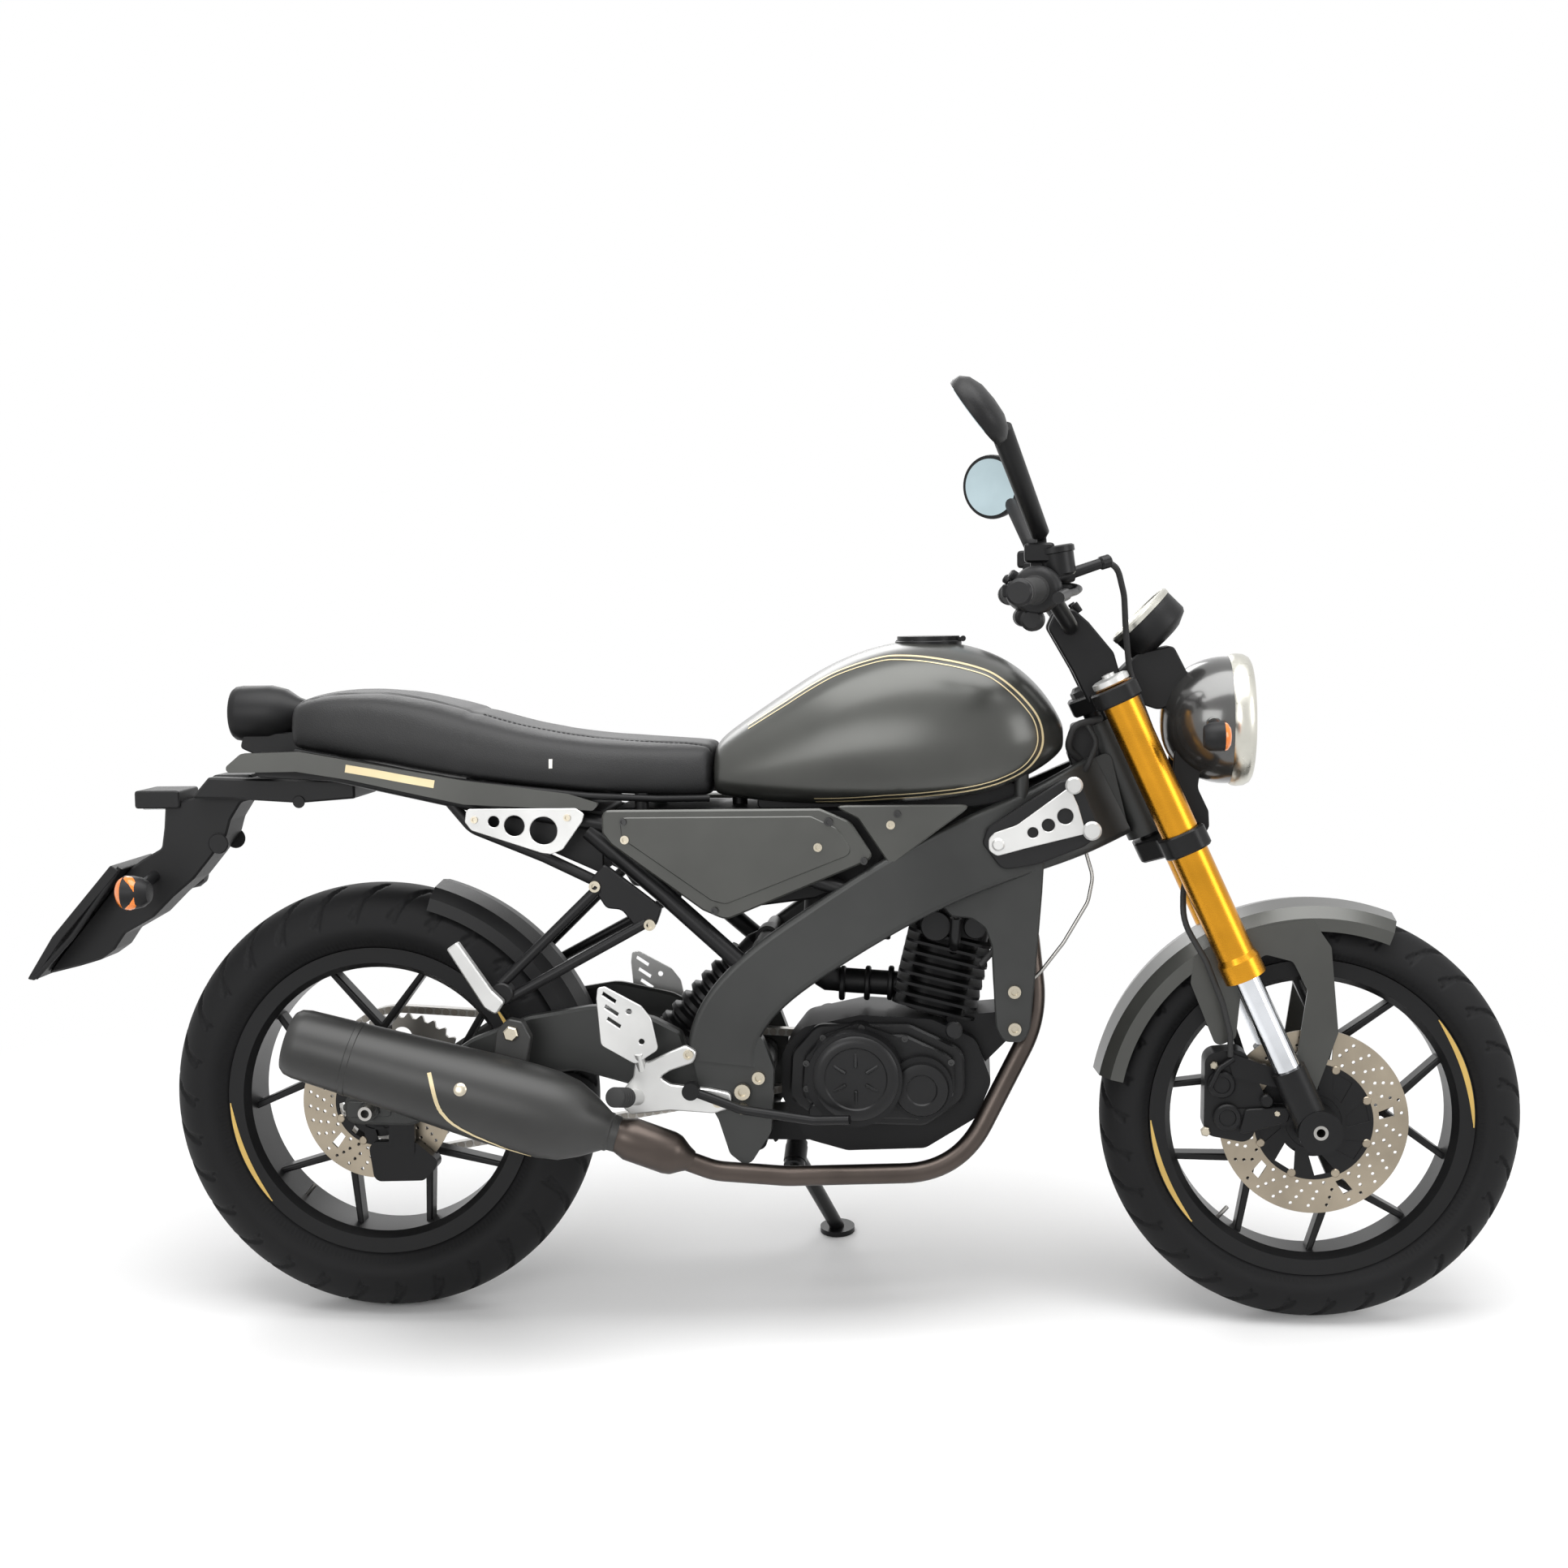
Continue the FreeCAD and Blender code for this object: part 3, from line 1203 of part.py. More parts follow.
whole = FreeCAD.BoundBox()
for shape in shapes.values():
    whole.add(shape.optimalBoundingBox(False))
origin = vec((whole.XMin + whole.XMax) / 2, (whole.YMin + whole.YMax) / 2, whole.ZMin)


def placed(point):
    turn = FreeCAD.Rotation(vec(1, 0, 0), -lean)
    return turn.multVec(point) - origin


def placed_way(way):
    return FreeCAD.Rotation(vec(1, 0, 0), -lean).multVec(way)


os.makedirs("parts", exist_ok=True)
for name, shape in shapes.items():
    shape.translate(origin * -1)
    shape.exportStep("parts/%s.step" % name)
    if not shape.isValid():
        print(name, "is not valid")
print("overall", round(whole.XLength), round(whole.YLength), round(whole.ZLength))
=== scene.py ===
import json
import math

import bmesh
import bpy
from mathutils import Matrix, Vector, noise
from mathutils.bvhtree import BVHTree


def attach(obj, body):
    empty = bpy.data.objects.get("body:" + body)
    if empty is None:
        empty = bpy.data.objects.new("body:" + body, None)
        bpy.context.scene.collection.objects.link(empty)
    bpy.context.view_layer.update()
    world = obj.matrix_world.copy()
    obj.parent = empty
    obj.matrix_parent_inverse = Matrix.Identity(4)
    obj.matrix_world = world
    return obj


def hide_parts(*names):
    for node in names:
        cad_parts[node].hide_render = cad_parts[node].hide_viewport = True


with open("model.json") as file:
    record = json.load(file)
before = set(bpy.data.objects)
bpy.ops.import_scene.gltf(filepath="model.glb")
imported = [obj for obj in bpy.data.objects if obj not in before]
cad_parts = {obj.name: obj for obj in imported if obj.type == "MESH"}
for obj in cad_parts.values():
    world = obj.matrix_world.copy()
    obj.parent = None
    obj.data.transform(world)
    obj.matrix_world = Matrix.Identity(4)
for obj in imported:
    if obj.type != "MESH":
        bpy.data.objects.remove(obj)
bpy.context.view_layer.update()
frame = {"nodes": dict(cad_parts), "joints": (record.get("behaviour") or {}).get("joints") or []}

nodes = frame["nodes"]
jointAt = {joint["name"]: Vector(joint["pos_m"]) for joint in frame["joints"]}

# The machine is described upright in millimetres (x ahead of the rear axle, y to its left, z above
# the tyres' foot) and then leaned onto its side stand.
leanTurn = Matrix.Rotation(math.radians(-8), 3, "X")
rearAxle = jointAt["rear_spin"]
rearAxleHeight = 314


def spot(x, y, z):
    return leanTurn @ Vector((x, y, z - rearAxleHeight)) / 1000 + rearAxle


def heading(x, y, z):
    return leanTurn @ Vector((x, y, z))


def polar(radius, turn, y=0):
    return Vector((radius * math.cos(turn), y, radius * math.sin(turn)))


def linked(name, data):
    made = bpy.data.objects.new(name, data)
    bpy.context.scene.collection.objects.link(made)
    return made


# A term is one output socket; sums and products of terms add Math nodes to their graph
class Term:
    def __init__(self, graph, socket):
        self.graph = graph
        self.socket = socket

    def also(self, output):
        return Term(self.graph, self.socket.node.outputs[output])

    def __add__(self, other):
        return self.graph.maths("ADD", self, other)

    def __mul__(self, other):
        return self.graph.maths("MULTIPLY", self, other)

    __radd__ = __add__
    __rmul__ = __mul__


class Graph:
    def __init__(self, tree):
        self.tree = tree

    def node(self, kind, settings=None, sockets=None, output=0):
        made = self.tree.nodes.new(kind)
        for key, value in (settings or {}).items():
            if key == "stops":
                for stop, (place, shade) in zip(made.color_ramp.elements, value):
                    stop.position = place
                    stop.color = (shade, shade, shade, 1)
            else:
                setattr(made, key, value)
        for key, value in (sockets or {}).items():
            self.feed(made.inputs[key], value)
        return Term(self, made.outputs[output])

    def feed(self, socket, value):
        if isinstance(value, Term):
            self.tree.links.new(value.socket, socket)
        else:
            socket.default_value = value

    def maths(self, operation, first, second):
        return self.node("ShaderNodeMath", {"operation": operation}, {0: first, 1: second})

    def seen(self):  # 1 where the camera looks, also in a mirror or through glass
        rays = self.node("ShaderNodeLightPath")
        shown = self.maths("MAXIMUM", rays, rays.also("Is Glossy Ray"))
        return self.maths("MAXIMUM", shown, rays.also("Is Transmission Ray"))


class Look(Graph):
    def __init__(self, name, colour, roughness, metallic=0.0, **fixed):
        self.material = bpy.data.materials.new(name)
        self.material.use_nodes = True
        super().__init__(self.material.node_tree)
        self.shader = self.tree.nodes["Principled BSDF"]
        self.material.diffuse_color = (*colour, 1)
        self.set("Base Color", (*colour, 1))
        self.set("Roughness", roughness)
        self.set("Metallic", metallic)
        for socket, value in fixed.items():
            self.set(socket.replace("_", " "), value)

    def set(self, socket, value):
        self.feed(self.shader.inputs[socket], value)

    def place(self):
        return self.node("ShaderNodeTexCoord", output=3)

    def noise(self, scale, detail, stretch=None):
        where = self.place()
        if stretch:
            where = self.node("ShaderNodeVectorMath", {"operation": "MULTIPLY"},
                              {0: where, 1: stretch})
        return self.node("ShaderNodeTexNoise", None, {"Vector": where, "Scale": scale, "Detail": detail})

    def ramp(self, value, *stops):
        return self.node("ShaderNodeValToRGB", {"stops": stops}, {0: value})

    def mix(self, share, first, second):
        return self.node("ShaderNodeMix", {"data_type": "RGBA"}, {0: share, 6: first, 7: second}, 2)

    def bump(self, height, depth):
        self.set("Normal", self.node("ShaderNodeBump", None,
                                     {"Height": height, "Distance": depth, "Strength": 1.0}))


print("looks")
looks = {}


def shade(colour, share):
    return (*[min(1, c * share) for c in colour], 1)


def coated(name, colour, roughness, metallic=0.0, grain=900, depth=0.00006, spread=0.16, **fixed):
    look = looks[name] = Look(name, colour, roughness, metallic, **fixed)
    cloud = look.noise(6, 4)
    fine = look.noise(grain, 2)
    look.set("Base Color", look.mix(look.ramp(cloud, (0.35, 0), (0.65, 1)),
                                    shade(colour, 0.86), shade(colour, 1.12)))
    look.set("Roughness", cloud * spread + (roughness - spread / 2))
    look.bump(fine, depth)


def metalFinish(name, colour, roughness, stretch, scale=300, depth=0.00002, spread=0.18):
    look = looks[name] = Look(name, colour, roughness, 1.0)
    lines = look.noise(scale, 4, stretch)
    cloud = look.noise(14, 3)
    look.set("Base Color", look.mix(look.ramp(cloud, (0.3, 0), (0.7, 1)),
                                    shade(colour, 0.85), shade(colour, 1.1)))
    look.set("Roughness", lines * spread + cloud * 0.08 + (roughness - spread / 2 - 0.04))
    look.bump(lines, depth)


coated("frameGrey", (0.036, 0.037, 0.036), 0.4, 0.35, grain=1400, Specular_IOR_Level=0.4)
coated("bodyGrey", (0.058, 0.059, 0.054), 0.32, 0.55, grain=2600, depth=0.000015, spread=0.06,
       Coat_Weight=0.35, Coat_Roughness=0.22)
coated("blackMetal", (0.009, 0.009, 0.0095), 0.36, 0.2, grain=1100, Specular_IOR_Level=0.26)
coated("engineBlack", (0.008, 0.008, 0.0085), 0.46, 0.25, grain=650, depth=0.0001,
       Specular_IOR_Level=0.26)
coated("silverCast", (0.62, 0.62, 0.61), 0.34, 0.75, grain=900, spread=0.12)
metalFinish("forkGold", (0.64, 0.29, 0.022), 0.28, (1, 1, 9), 160, spread=0.1)
metalFinish("chrome", (0.72, 0.74, 0.77), 0.1, (1, 1, 12), 220, depth=0.000004, spread=0.06)
metalFinish("steel", (0.42, 0.41, 0.39), 0.34, (4, 1, 4), 200)
coated("plastic", (0.008, 0.008, 0.0085), 0.46, 0.0, grain=1800, depth=0.00008, Specular_IOR_Level=0.26)
coated("rubber", (0.016, 0.016, 0.016), 0.72, 0.0, grain=1500, depth=0.00006)
coated("exhaustGrey", (0.036, 0.036, 0.035), 0.42, 0.4, grain=1600, depth=0.00005)
metalFinish("pipeSteel", (0.085, 0.07, 0.062), 0.36, (1, 6, 6), 120)
coated("amber", (0.8, 0.2, 0.012), 0.2, 0.0, grain=260, depth=0.00006, spread=0.06, Coat_Weight=0.5)
coated("mirrorGlass", (0.5, 0.62, 0.66), 0.06, 1.0, grain=40, depth=0.000004, spread=0.03)
coated("lensGlass", (0.86, 0.89, 0.91), 0.07, 0.0, grain=60, depth=0.00002, spread=0.04,
       Transmission_Weight=1.0, IOR=1.45)
coated("tyreRubber", (0.009, 0.009, 0.0095), 0.62, 0.0, grain=1100, depth=0.00012,
       Specular_IOR_Level=0.16)
metalFinish("discSteel", (0.36, 0.31, 0.24), 0.36, (1, 1, 1), 90)
# gold for the painted highlight on the rims' edges, not a real tape
coated("goldTape", (0.62, 0.42, 0.12), 0.34, 0.4, grain=900, depth=0.00001)
coated("engineCover", (0.011, 0.011, 0.0115), 0.34, 0.3, grain=800, depth=0.00004,
       Specular_IOR_Level=0.34)
metalFinish("darkBolt", (0.06, 0.06, 0.06), 0.34, (1, 1, 1), 300)
metalFinish("brightBolt", (0.55, 0.5, 0.4), 0.3, (1, 1, 1), 300)
metalFinish("chainSteel", (0.3, 0.28, 0.25), 0.34, (1, 1, 1), 500)
coated("redLens", (0.32, 0.008, 0.006), 0.12, 0.0, grain=200, depth=0.00002, Coat_Weight=0.6)
coated("whiteLens", (0.8, 0.82, 0.82), 0.2, 0.0, grain=300, depth=0.00002)
coated("lampShell", (0.1, 0.1, 0.098), 0.2, 0.7, grain=300, depth=0.00001, spread=0.05, Coat_Weight=0.5,
       Coat_Roughness=0.08)
metalFinish("reflector", (0.8, 0.82, 0.84), 0.12, (1, 1, 1), 60, depth=0.00001, spread=0.08)
coated("dialFace", (0.02, 0.021, 0.024), 0.3, 0.0, grain=500)
coated("creamPaint", (0.72, 0.6, 0.36), 0.32, 0.1, grain=900, depth=0.00001, spread=0.06)
coated("whiteCloth", (0.75, 0.74, 0.7), 0.8, 0.0, grain=2200)
coated("thread", (0.03, 0.03, 0.032), 0.7, 0.0, grain=2600)
coated("seatCover", (0.011, 0.011, 0.0115), 0.5, 0.0, grain=620, depth=0.00035, spread=0.12,
       Specular_IOR_Level=0.36)
metalFinish("brightRim", (0.6, 0.59, 0.53), 0.3, (1, 1, 1), 240)

nodeLooks = {
    "frameGrey": "frame engine_hangers swingarm",
    "engineBlack": "engine_case engine_covers cylinder",
    "pipeSteel": "exhaust_pipe",
    "exhaustGrey": "muffler",
    "blackMetal": "subframe fuel_cap rear_caliper foot_levers passenger_hangers yokes "
                  "handlebar levers axle_clamps headlight lamp_brackets front_caliper front_rim "
                  "rear_rim side_stand stand_bracket shock",
    "plastic": "seat bracket_pads tail_lamp plate_hanger rear_indicators hugger switchgear "
               "mirrors meter front_indicators",
    "bodyGrey": "tank side_covers tail_covers front_fender",
    "silverCast": "cover_brackets footrests",
    "steel": "pivot_bolt rear_axle chain drive_sprocket front_axle front_disc rear_disc rear_sprocket",
    "rubber": "grips front_tyre rear_tyre",
    "mirrorGlass": "mirror_glass",
    "forkGold": "fork_outers",
    "chrome": "fork_sliders",
    "brightRim": "headlight_rim",
    "lensGlass": "headlight_lens",
}
for look, names in nodeLooks.items():
    for name in names.split():
        nodes[name].material_slots[0].material = looks[look].material


def upright(point):
    return leanTurn.transposed() @ (point - rearAxle) * 1000 + Vector((0, 0, rearAxleHeight))


def uprightWay(way):
    return leanTurn.transposed() @ way


def uprightBox(name):
    item = nodes[name]
    spots = [upright(item.matrix_world @ vertex.co) for vertex in item.data.vertices]
    return [Vector([pick(point[axis] for point in spots) for axis in range(3)]) for pick in (min, max)]


def softened(points, bend, closed=False, steps=6):
    points = [Vector(point) for point in points]
    path = []
    for index, at in enumerate(points):
        if not closed and index in (0, len(points) - 1):
            path.append(at)
            continue
        into, out = at - points[index - 1], points[(index + 1) % len(points)] - at
        turn = into.angle(out, 0)
        if turn < 0.02:
            path.append(at)
            continue
        radius = bend[index] if hasattr(bend, "__len__") else bend
        reach = min(radius * math.tan(turn / 2), 0.48 * into.length, 0.48 * out.length)
        first, last = at - into.normalized() * reach, at + out.normalized() * reach
        for step in range(steps + 1):
            share = step / steps
            path.append(first.lerp(at, share).lerp(at.lerp(last, share), share))
    return path


def stepped(path, bend, reach=4):
    path = softened(path, bend, False, 10)
    spots = []
    for first, last in zip(path, path[1:]):
        count = max(1, int((last - first).length / reach))
        spots += [first.lerp(last, step / count) for step in range(count)]
    return spots


def shifted(loop, amount):
    area = sum(a.x * b.z - b.x * a.z for a, b in zip(loop, loop[1:] + loop[:1]))
    way = amount if area > 0 else -amount
    moved = []
    for index, at in enumerate(loop):
        along = (loop[(index + 1) % len(loop)] - loop[index - 1]).normalized()
        moved.append(at + Vector((-along.z, 0, along.x)) * way)
    return moved


def circle(x, z, radius, sides=16):
    return [(x + radius * math.cos(math.tau * step / sides), z + radius * math.sin(math.tau * step / sides))
            for step in range(sides)]


def hoop(centre, side, up, radius, sides):
    turns = [math.tau * step / sides for step in range(sides)]
    return [centre + (side * math.cos(turn) + up * math.sin(turn)) * radius for turn in turns]


# Clay holds one piece's shape in upright millimetres; finishing it leans it and hands it over
class Clay:
    def __init__(self, look, sharp=38):
        self.mesh = bmesh.new()
        self.look = look
        self.sharp = sharp

    def skin(self, first, second):
        for index in range(len(first)):
            after = (index + 1) % len(first)
            self.mesh.faces.new((first[index], first[after], second[after], second[index]))

    def rings(self, rings, caps=(True, True), loop=False):
        made = [[self.mesh.verts.new(point) for point in ring] for ring in rings]
        for first, second in zip(made, made[1:] + made[:1] if loop else made[1:]):
            self.skin(first, second)
        for cap, ring in zip(() if loop else caps, (made[0], made[-1])):
            if cap:
                self.mesh.faces.new(ring)

    def lathe(self, profile, start, way, sides=40):
        start, way = Vector(start), Vector(way).normalized()
        side = way.orthogonal().normalized()
        rings = [hoop(start + way * along, side, way.cross(side), radius, sides) for along, radius in profile]
        self.rings(rings, (profile[0][1] > 0, profile[-1][1] > 0))

    def rod(self, first, last, radius, edge=0.8, sides=24):
        first, last = Vector(first), Vector(last)
        reach = (last - first).length
        edge = min(edge, radius * 0.5, reach * 0.4)
        self.lathe([(0, radius - edge), (edge, radius), (reach - edge, radius), (reach, radius - edge)],
                   first, last - first, sides)

    def tube(self, points, radius, bend=30, sides=16, steps=7):
        path = softened(points, bend, False, steps)
        side = (path[1] - path[0]).orthogonal().normalized()
        rings = []
        for index, point in enumerate(path):
            ahead = (path[min(index + 1, len(path) - 1)] - path[max(index - 1, 0)]).normalized()
            side = (side - ahead * side.dot(ahead)).normalized()
            size = radius(index / (len(path) - 1)) if callable(radius) else radius
            rings.append(hoop(point, side, ahead.cross(side), size, sides))
        self.rings(rings)

    def slab(self, outline, low, high, corner=6, edge=0.9, holes=()):
        loops = [softened([(x, 0, z) for x, z in outline], corner, True, 4)]
        loops += [[Vector((x, 0, z)) for x, z in hole] for hole in holes]
        made, ends = [], ([], [])
        for number, loop in enumerate(loops):
            rings = []
            for y, inset in ((low, edge), (low + edge, 0), (high - edge, 0), (high, edge)):
                ring = shifted(loop, inset if number == 0 else -inset)
                rings.append([self.mesh.verts.new((point.x, y, point.z)) for point in ring])
            for first, second in zip(rings, rings[1:]):
                self.skin(first, second)
            for end, ring in zip(ends, (rings[0], rings[-1])):
                end += [self.mesh.edges.get((ring[index - 1], ring[index])) for index in range(len(ring))]
            made += [vert for ring in rings for vert in ring]
        for end in ends:
            bmesh.ops.triangle_fill(self.mesh, use_beauty=True, edges=end)
        return made

    def slabs(self, outline, low, high, corner=6, edge=0.9, holes=()):
        self.slab(outline, low, high, corner, edge, holes)
        self.slab(outline, -high, -low, corner, edge, holes)

    def block(self, low, high, edge=1.5):
        low, high = Vector(low), Vector(high)
        self.slab([(low.x, low.z), (high.x, low.z), (high.x, high.z), (low.x, high.z)],
                  low.y, high.y, edge * 2, edge)

    def strip(self, rows):
        made = [[self.mesh.verts.new(point) for point in row] for row in rows]
        for first, second in zip(made, made[1:]):
            for column in range(len(first) - 1):
                self.mesh.faces.new((first[column], first[column + 1], second[column + 1],
                                     second[column]))

    def trace(self, path, width, tree, shift=0, lift=0.5):
        spots = [tree.find_nearest(spot(*point))[:2] for point in stepped(path, 60)]
        rows = []
        for index, (near, normal) in enumerate(spots):
            along = spots[min(index + 1, len(spots) - 1)][0] - spots[max(index - 1, 0)][0]
            across = normal.cross(along).normalized() / 1000
            row = []
            for out in (shift - width / 2, shift, shift + width / 2):
                base, facing = tree.find_nearest(near + across * out)[:2]
                row.append(upright(base + facing * lift / 1000))
            rows.append(row)
        self.strip(rows)

    def finish(self, name, body, *replaced, solid=True):
        if solid:
            bmesh.ops.remove_doubles(self.mesh, verts=self.mesh.verts, dist=0.004)
            bmesh.ops.dissolve_degenerate(self.mesh, dist=0.003, edges=self.mesh.edges)
            bmesh.ops.recalc_face_normals(self.mesh, faces=self.mesh.faces)
        for vert in self.mesh.verts:
            vert.co = spot(*vert.co)
        data = bpy.data.meshes.new(name)
        self.mesh.to_mesh(data)
        self.mesh.free()
        return handed(name, data, self.look, body, replaced, self.sharp)

    # Made for the right side, mirrored for the left; the right one takes the node's place
    def finishSide(self, name, side, node):
        if side > 0:
            bmesh.ops.scale(self.mesh, verts=self.mesh.verts, vec=(1, -1, 1))
        self.finish(name + ("Left" if side > 0 else "Right"), "steering", *([] if side > 0 else [node]))


def handed(name, data, look, body, replaced=(), sharp=38):
    piece = linked(name, data)
    data.materials.clear()
    data.materials.append(looks[look].material)
    data.shade_smooth()
    data.set_sharp_from_angle(angle=math.radians(sharp))
    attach(piece, body)
    if replaced:
        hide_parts(*replaced)
    return piece


def lathed(name, body, look, profile, start, way, sides, *replaced, sharp=38):
    piece = Clay(look, sharp)
    piece.lathe(profile, start, way, sides)
    piece.finish(name, body, *replaced)


def surfaceOf(item):
    made = bmesh.new()
    made.from_mesh(item.data)
    made.transform(item.matrix_world)
    tree = BVHTree.FromBMesh(made)
    made.free()
    return tree


# Fork geometry: how far up the legs' own line, how far ahead of it
forkRake = math.radians(24.4)
frontAxle = upright(jointAt["front_spin"])
steerPoint = upright(jointAt["steering"])
forkUp = Vector((-math.sin(forkRake), 0, math.cos(forkRake)))
forkAhead = Vector((math.cos(forkRake), 0, math.sin(forkRake)))
legPlane = 97


def onFork(level, y, ahead=0):
    return frontAxle + forkUp * level + forkAhead * ahead + Vector((0, y - frontAxle.y, 0))


print("headlight")
lampSizes = {"face": 1222, "height": 852, "radius": 89, "depth": 98, "rim": 26, "lensDome": 10}


def makeHeadlight():
    size = lampSizes
    face = Vector((size["face"], 0, size["height"]))
    radius = size["radius"]
    bucket = Clay("lampShell")
    profile = [(0, radius - 7), (0, radius)]
    for step in range(15):
        angle = step / 14 * math.pi / 2
        profile.append((12 + (size["depth"] - 12) * math.sin(angle) ** 1.15,
                        radius * max(0, math.cos(angle)) ** 0.8))
    bucket.lathe(profile, face, (-1, 0, 0), 72)
    for side in (-1, 1):
        bucket.rod((1188, side * (radius - 16), size["height"]),
                   (1188, side * (radius + 9), size["height"]), 9)
    bucket.rod((1160, 0, size["height"] - 82), (1160, 0, size["height"] - 70), 9)
    bucket.finish("headlightBucket", "steering", "headlight")
    lathed("headlightTrim", "steering", "brightRim",
           [(-4, radius + 0.5), (0, radius + 3), (6, radius + 4), (16, radius + 3), (23, radius - 1),
            (size["rim"], radius - 6), (size["rim"] - 2, radius - 10), (14, radius - 9), (-4, radius - 8)],
           face, (1, 0, 0), 80, "headlight_rim")
    lathed("headlightBowl", "steering", "reflector",
           [(16, radius - 9.5)] + [(16 - 62 * (1 - (share / 8) ** 2), max(0, (radius - 10) * share / 8))
                                   for share in range(8, -1, -1)], face, (1, 0, 0), 64)
    lathed("headlightBulb", "steering", "brightRim", [(-44, 7), (-10, 7), (-4, 12), (2, 12), (4, 0)],
           face, (1, 0, 0), 32)

    def dome(base, steps):
        return [(base + size["lensDome"] * (1 - (step / 10) ** 2), (radius - 9.6) * step / 10)
                for step in steps]

    lathed("headlightGlass", "steering", "lensGlass", dome(18, range(11)) + dome(15, range(10, -1, -1)),
           face, (1, 0, 0), 80, "headlight_lens", sharp=60)


makeHeadlight()

print("cockpit")
# The right grip's end, and the way from it along the grip
barSizes = {"clamp": (996, 986), "end": (919, -404, 1033), "way": (0.172, 0.985, 0.0246), "radius": 11,
            "grip": 16.5, "switch": 134}


def onBar(along, side=-1):
    point = Vector(barSizes["end"]) + Vector(barSizes["way"]) * along
    return Vector((point.x, -side * point.y, point.z))


def barPath(side):
    x, y, z = barSizes["end"]
    cx, cz = barSizes["clamp"]
    return [(cx, 0, cz), (cx, side * 92, cz), (x + 42, -side * (y + 240), z + 6), (x, -side * y, z)]


def makeCockpit():
    bar = Clay("blackMetal")
    for side in (-1, 1):
        bar.tube(barPath(side), barSizes["radius"], 60, 20, 10)
        bar.rod(onBar(-1, side), onBar(12, side), barSizes["grip"], 3)
    riser = [(966, 984), (1000, 924), (1021, 880), (1065, 900), (1066, 914), (1056, 950), (1022, 992),
             (1000, 1012), (976, 1006)]
    for y in (-48, 48):
        bar.slab(riser, y - 15, y + 15, [10, 30, 4, 4, 10, 16, 16, 12, 10], 2.5)
        bar.rod((1010, y - 8, 1006), (1002, y - 8, 1018), 5)
        bar.rod((984, y + 8, 1004), (976, y + 8, 1014), 5)
    bar.finish("handlebarSet", "steering", "handlebar")
    way = Vector(barSizes["way"])
    at = onBar(barSizes["switch"])
    for side in (-1, 1):
        switch = Clay("plastic")
        switch.lathe([(0, 22), (2, 27), (8, 31), (36, 31), (42, 27), (44, 22)], at, way, 40)
        switch.rod(at + Vector((-4, 8, -38)), at + Vector((0, 36, -38)), 15, 4)
        switch.block(at + Vector((-34, 10, -8)), at + Vector((-24, 30, 12)), 2)
        switch.rod(at + Vector((-31, 20, 22)), at + Vector((-22, 22, 16)), 7, 2)
        switch.finishSide("switch", side, "switchgear")
        grip = Clay("rubber", 60)
        profile = [(0, 15), (1.5, 17.5), (4, 17.5), (5, 16)]
        for along in range(8, 116, 6):  # the ribs
            profile += [(along, 16.4), (along + 1, 15.2), (along + 2.2, 15.2), (along + 3.2, 16.4)]
        profile += [(117, 16.4), (118, 19), (121, 19), (122, 14)]
        grip.lathe(profile, onBar(13), way, 36)
        grip.finishSide("grip", side, "grips")


makeCockpit()
leverSizes = {"mount": (952.4, -213, 1037.8), "blade": 165}


def makeLevers():
    mount = Vector(leverSizes["mount"])
    way = Vector(barSizes["way"])
    for side in (-1, 1):
        lever = Clay("blackMetal")
        lever.rod(mount - way * 12, mount + way * 12, 17, 2)
        lever.block(mount + Vector((-14, -10, 10)), mount + Vector((13, 11, 42)), 2)
        lever.block(mount + Vector((-22, -20, 34)), mount + Vector((17, 10, 60)), 3)
        lever.tube([mount + Vector((14, 0, 4)), mount + Vector((50, 0, 0)),
                    mount + Vector((52, 0, -3)) - way * 60, mount + Vector((46, 0, -5)) - way * 110,
                    mount + Vector((44, 0, -8)) - way * leverSizes["blade"]],
                   lambda share: 6.2 - 2.0 * math.sin(share * math.pi) ** 2 + 1.5 * (share > 0.93), 20)
        if side < 0:
            low = mount + Vector((24, 0, 16))
            lever.lathe([(0, 19), (3, 22), (30, 23), (31, 25), (38, 25), (40, 22)], low, (-0.16, 0, 1), 40)
            lever.tube([mount + Vector((10, 4, 12)), mount + Vector((40, 18, 20)), (1036, -178, 1072)],
                       lambda share: 12 - 5 * share, 14)
            lever.rod((1030, -181, 1070), (1044, -174, 1074), 9, 2)
        lever.finishSide("lever", side, "levers")


makeLevers()
mirrorSizes = {
    "right": {"side": -1, "centre": (870, -334, 1258), "facing": (-0.79, 0.12, -0.58)},
    "left": {"side": 1, "centre": (894, 330, 1200), "facing": (-0.50, -0.84, -0.10)},
}


def makeMirrors():
    stems = Clay("plastic", 50)
    glass = Clay("mirrorGlass")
    for size in mirrorSizes.values():
        centre, axis = Vector(size["centre"]), Vector(size["facing"]).normalized()
        base = Vector((952, size["side"] * 213, 1080))
        knee = base + Vector((2, 0, 22))
        toFoot = knee - centre
        toFoot = (toFoot - axis * toFoot.dot(axis)).normalized()
        edge = centre + toFoot * 40 - axis * 10
        stems.lathe([(-4, 44), (-4, 49), (0, 50), (10, 49), (19, 40), (25, 24), (27, 0)], centre, -axis, 64)
        stems.rod(base, base + Vector((0, 0, 12)), 11, 2)
        stems.tube([base, knee, edge], lambda share: 6.5 + 8 * max(0, share - 0.62) / 0.38, 26, 18, 8)
        glass.lathe([(3, 0), (3, 44.5), (5, 44), (5.4, 0)], centre, axis, 64)
    stems.finish("mirrorSet", "steering", "mirrors")
    glass.finish("mirrorFaces", "steering", "mirror_glass")


makeMirrors()
meterSizes = {"at": (1112, 0, 984), "facing": (-1, 0, 1), "depth": 26, "radius": 50}


